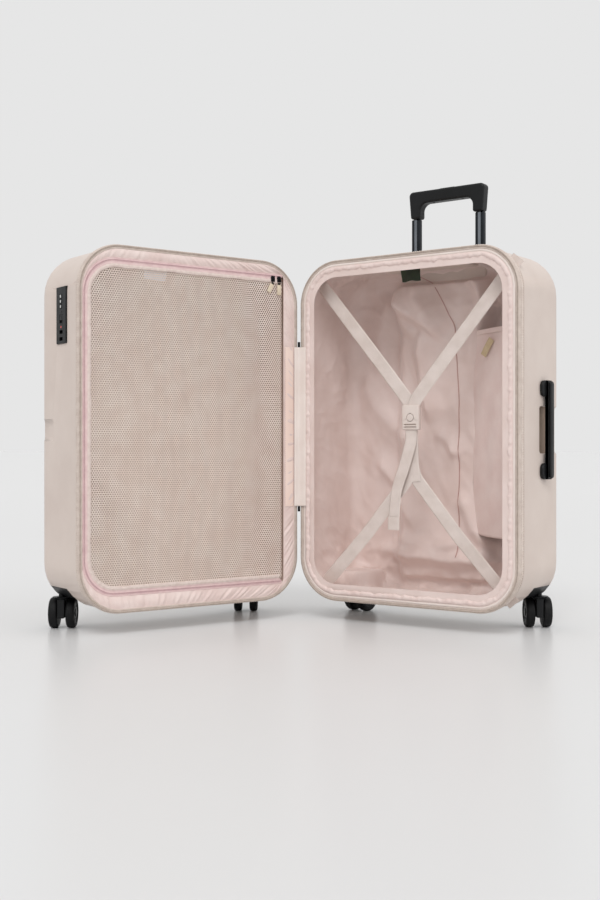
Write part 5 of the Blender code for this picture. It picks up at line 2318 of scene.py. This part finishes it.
for corner in ("back_left", "back_right", "front_left", "front_right"):
    centres = {
        which: Vector(joints[f"wheel_{corner}_{which}_spin"]["pos_m"]) for which in ("a", "b")
    }
    for which, other in (("a", "b"), ("b", "a")):
        outward_axis = (centres[which] - centres[other]).normalized()
        wheel_mesh = wheel_pattern.copy()
        facing_out = outward_axis.to_track_quat("Z", "Y").to_matrix().to_4x4()
        wheel_mesh.transform(Matrix.Translation(centres[which]) @ facing_out)
        turned_wheel = bpy.data.objects.new(f"wheel_{corner}_{which}_turned", wheel_mesh)
        scene.collection.objects.link(turned_wheel)
        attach(turned_wheel, f"wheel_{corner}_{which}")
        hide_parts(f"wheel_{corner}_{which}")
    body = "back_case" if corner.startswith("back") else "front_case"
    skin_of(
        f"caster_housing_{corner}",
        f"caster_housing_{corner}_moulded",
        body,
        moulded_black,
        0.9,
    )
    skin_of(
        f"caster_fork_{corner}",
        f"caster_fork_{corner}_moulded",
        f"caster_{corner}",
        moulded_black,
        0.7,
    )
    pivot = Vector(joints[f"caster_{corner}_swivel"]["pos_m"])
    bpy.ops.object.select_all(action="DESELECT")
    bpy.ops.mesh.primitive_cone_add(
        vertices=40,
        radius1=0.0105,
        radius2=0.0165,
        depth=0.0050,
        location=(pivot.x, pivot.y, crown_height),
    )
    crown = bpy.context.object
    crown.name = f"caster_{corner}_crown"
    bpy.ops.object.transform_apply(location=True, rotation=True, scale=True)
    apply_modifier(
        crown,
        "edge",
        "BEVEL",
        {"width": 0.0006, "segments": 2, "limit_method": "ANGLE", "angle_limit": math.radians(30)},
    )
    bpy.ops.object.shade_smooth_by_angle(angle=math.radians(35))
    crown.data.materials.append(moulded_black)
    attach(crown, f"caster_{corner}")


# Lock: a moulded plate flush in the side wall of the front half, with three number wheels, an
# opening slide, a key cylinder and two sockets that hold the pulls of the main zip.

skin_of("lock_body", "lock_plate", "front_case", moulded_black, 0.5)
lock_low, lock_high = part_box("lock_body")
dial_middle = front_half.inverted() @ Vector(joints["lock_dial_middle_turn"]["pos_m"])
dial_radius = 0.0085
lock_y = dial_middle.y
lock_face = dial_middle.x - dial_radius + 0.0008
number_white = plain_finish(
    "pad_printed_white",
    {"Specular IOR Level": 0.4},
    ("E9E9E6", "F2F2EF"),
    6,
    (0.4, 0.5),
    ((0.4, 0.01),),
)
for name in ("upper", "middle", "lower"):
    centre = front_half.inverted() @ Vector(joints[f"lock_dial_{name}_turn"]["pos_m"])
    bpy.ops.object.select_all(action="DESELECT")
    bpy.ops.mesh.primitive_cylinder_add(vertices=40, radius=dial_radius - 0.0001, depth=0.0058)
    dial = bpy.context.object
    dial.name = f"lock_number_wheel_{name}"
    apply_modifier(
        dial,
        "edge",
        "BEVEL",
        {"width": 0.0005, "segments": 2, "limit_method": "ANGLE", "angle_limit": math.radians(60)},
    )
    dial.data.materials.append(moulded_black)
    numerals = []
    for digit in range(10):
        bpy.ops.object.select_all(action="DESELECT")
        bpy.ops.object.text_add()
        numeral = bpy.context.object
        numeral.data.body = str(digit)
        numeral.data.size = 0.0066
        numeral.data.align_x = "CENTER"
        numeral.data.align_y = "CENTER"
        numeral.data.extrude = 0.00015
        numeral.data.offset = 0.00012
        numeral.data.resolution_u = 3
        bpy.ops.object.convert(target="MESH")
        numeral = bpy.context.object
        angle = math.radians(180 + 36 * digit)
        face_out = Matrix(
            (
                (-math.sin(angle), 0, math.cos(angle), dial_radius * math.cos(angle)),
                (math.cos(angle), 0, math.sin(angle), dial_radius * math.sin(angle)),
                (0, 1, 0, 0),
                (0, 0, 0, 1),
            )
        )
        numeral.data.transform(face_out)
        numeral.data.materials.clear()
        numeral.data.materials.append(number_white)
        numerals.append(numeral)
    join_into(dial, numerals)
    bpy.ops.object.shade_smooth_by_angle(angle=math.radians(30))
    dial.data.transform(front_half @ Matrix.Translation(centre))
    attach(dial, f"lock_dial_{name}")
    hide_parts(f"lock_dial_{name}")
slide_low, slide_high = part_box("lock_slide")
skin_of("lock_slide", "lock_opening_slide", "lock_slide", moulded_black, 0.4)
slide_z = (slide_low.z + slide_high.z) / 2
for number, rise in enumerate((-0.0024, 0.0, 0.0024)):
    rounded_block(
        f"slide_rib_{number}",
        (lock_face, lock_y - 0.0036, slide_z + rise - 0.0005),
        (lock_face + 0.0012, lock_y + 0.0036, slide_z + rise + 0.0005),
        0.0003,
        front_half,
        moulded_black,
        "lock_slide",
        2,
    )
key_red = plain_finish(
    "painted_red_enamel",
    {"Coat Weight": 0.4, "Specular IOR Level": 0.5},
    ("C8352C", "D24036"),
    4,
    (0.3, 0.4),
    ((0.5, 0.01),),
)


def disc_on_side(name, z, radius, sunk, proud, material):
    """A small round disc on the lock's face, its axis across the case."""
    low_x, high_x = lock_face - sunk, lock_face + proud
    bpy.ops.object.select_all(action="DESELECT")
    bpy.ops.mesh.primitive_cylinder_add(
        vertices=32,
        radius=radius,
        depth=high_x - low_x,
        location=((low_x + high_x) / 2, lock_y, z),
        rotation=(0, math.pi / 2, 0),
    )
    piece = bpy.context.object
    piece.name = name
    bpy.ops.object.transform_apply(location=True, rotation=True, scale=True)
    apply_modifier(
        piece,
        "edge",
        "BEVEL",
        {"width": 0.0002, "segments": 2, "limit_method": "ANGLE", "angle_limit": math.radians(60)},
    )
    bpy.ops.object.shade_smooth_by_angle(angle=math.radians(35))
    piece.data.transform(front_half)
    piece.data.materials.append(material)
    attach(piece, "front_case")
    return piece


lock_z = (lock_low.z + lock_high.z) / 2
disc_on_side("lock_red_mark", lock_z - 0.0205, 0.0021, 0.0001, 0.0010, key_red)
disc_on_side("lock_key_ring", lock_z + 0.0060, 0.0024, 0.0001, 0.0012, black_zinc)
disc_on_side("lock_key_core", lock_z + 0.0060, 0.0015, 0.0003, 0.0012, moulded_black)
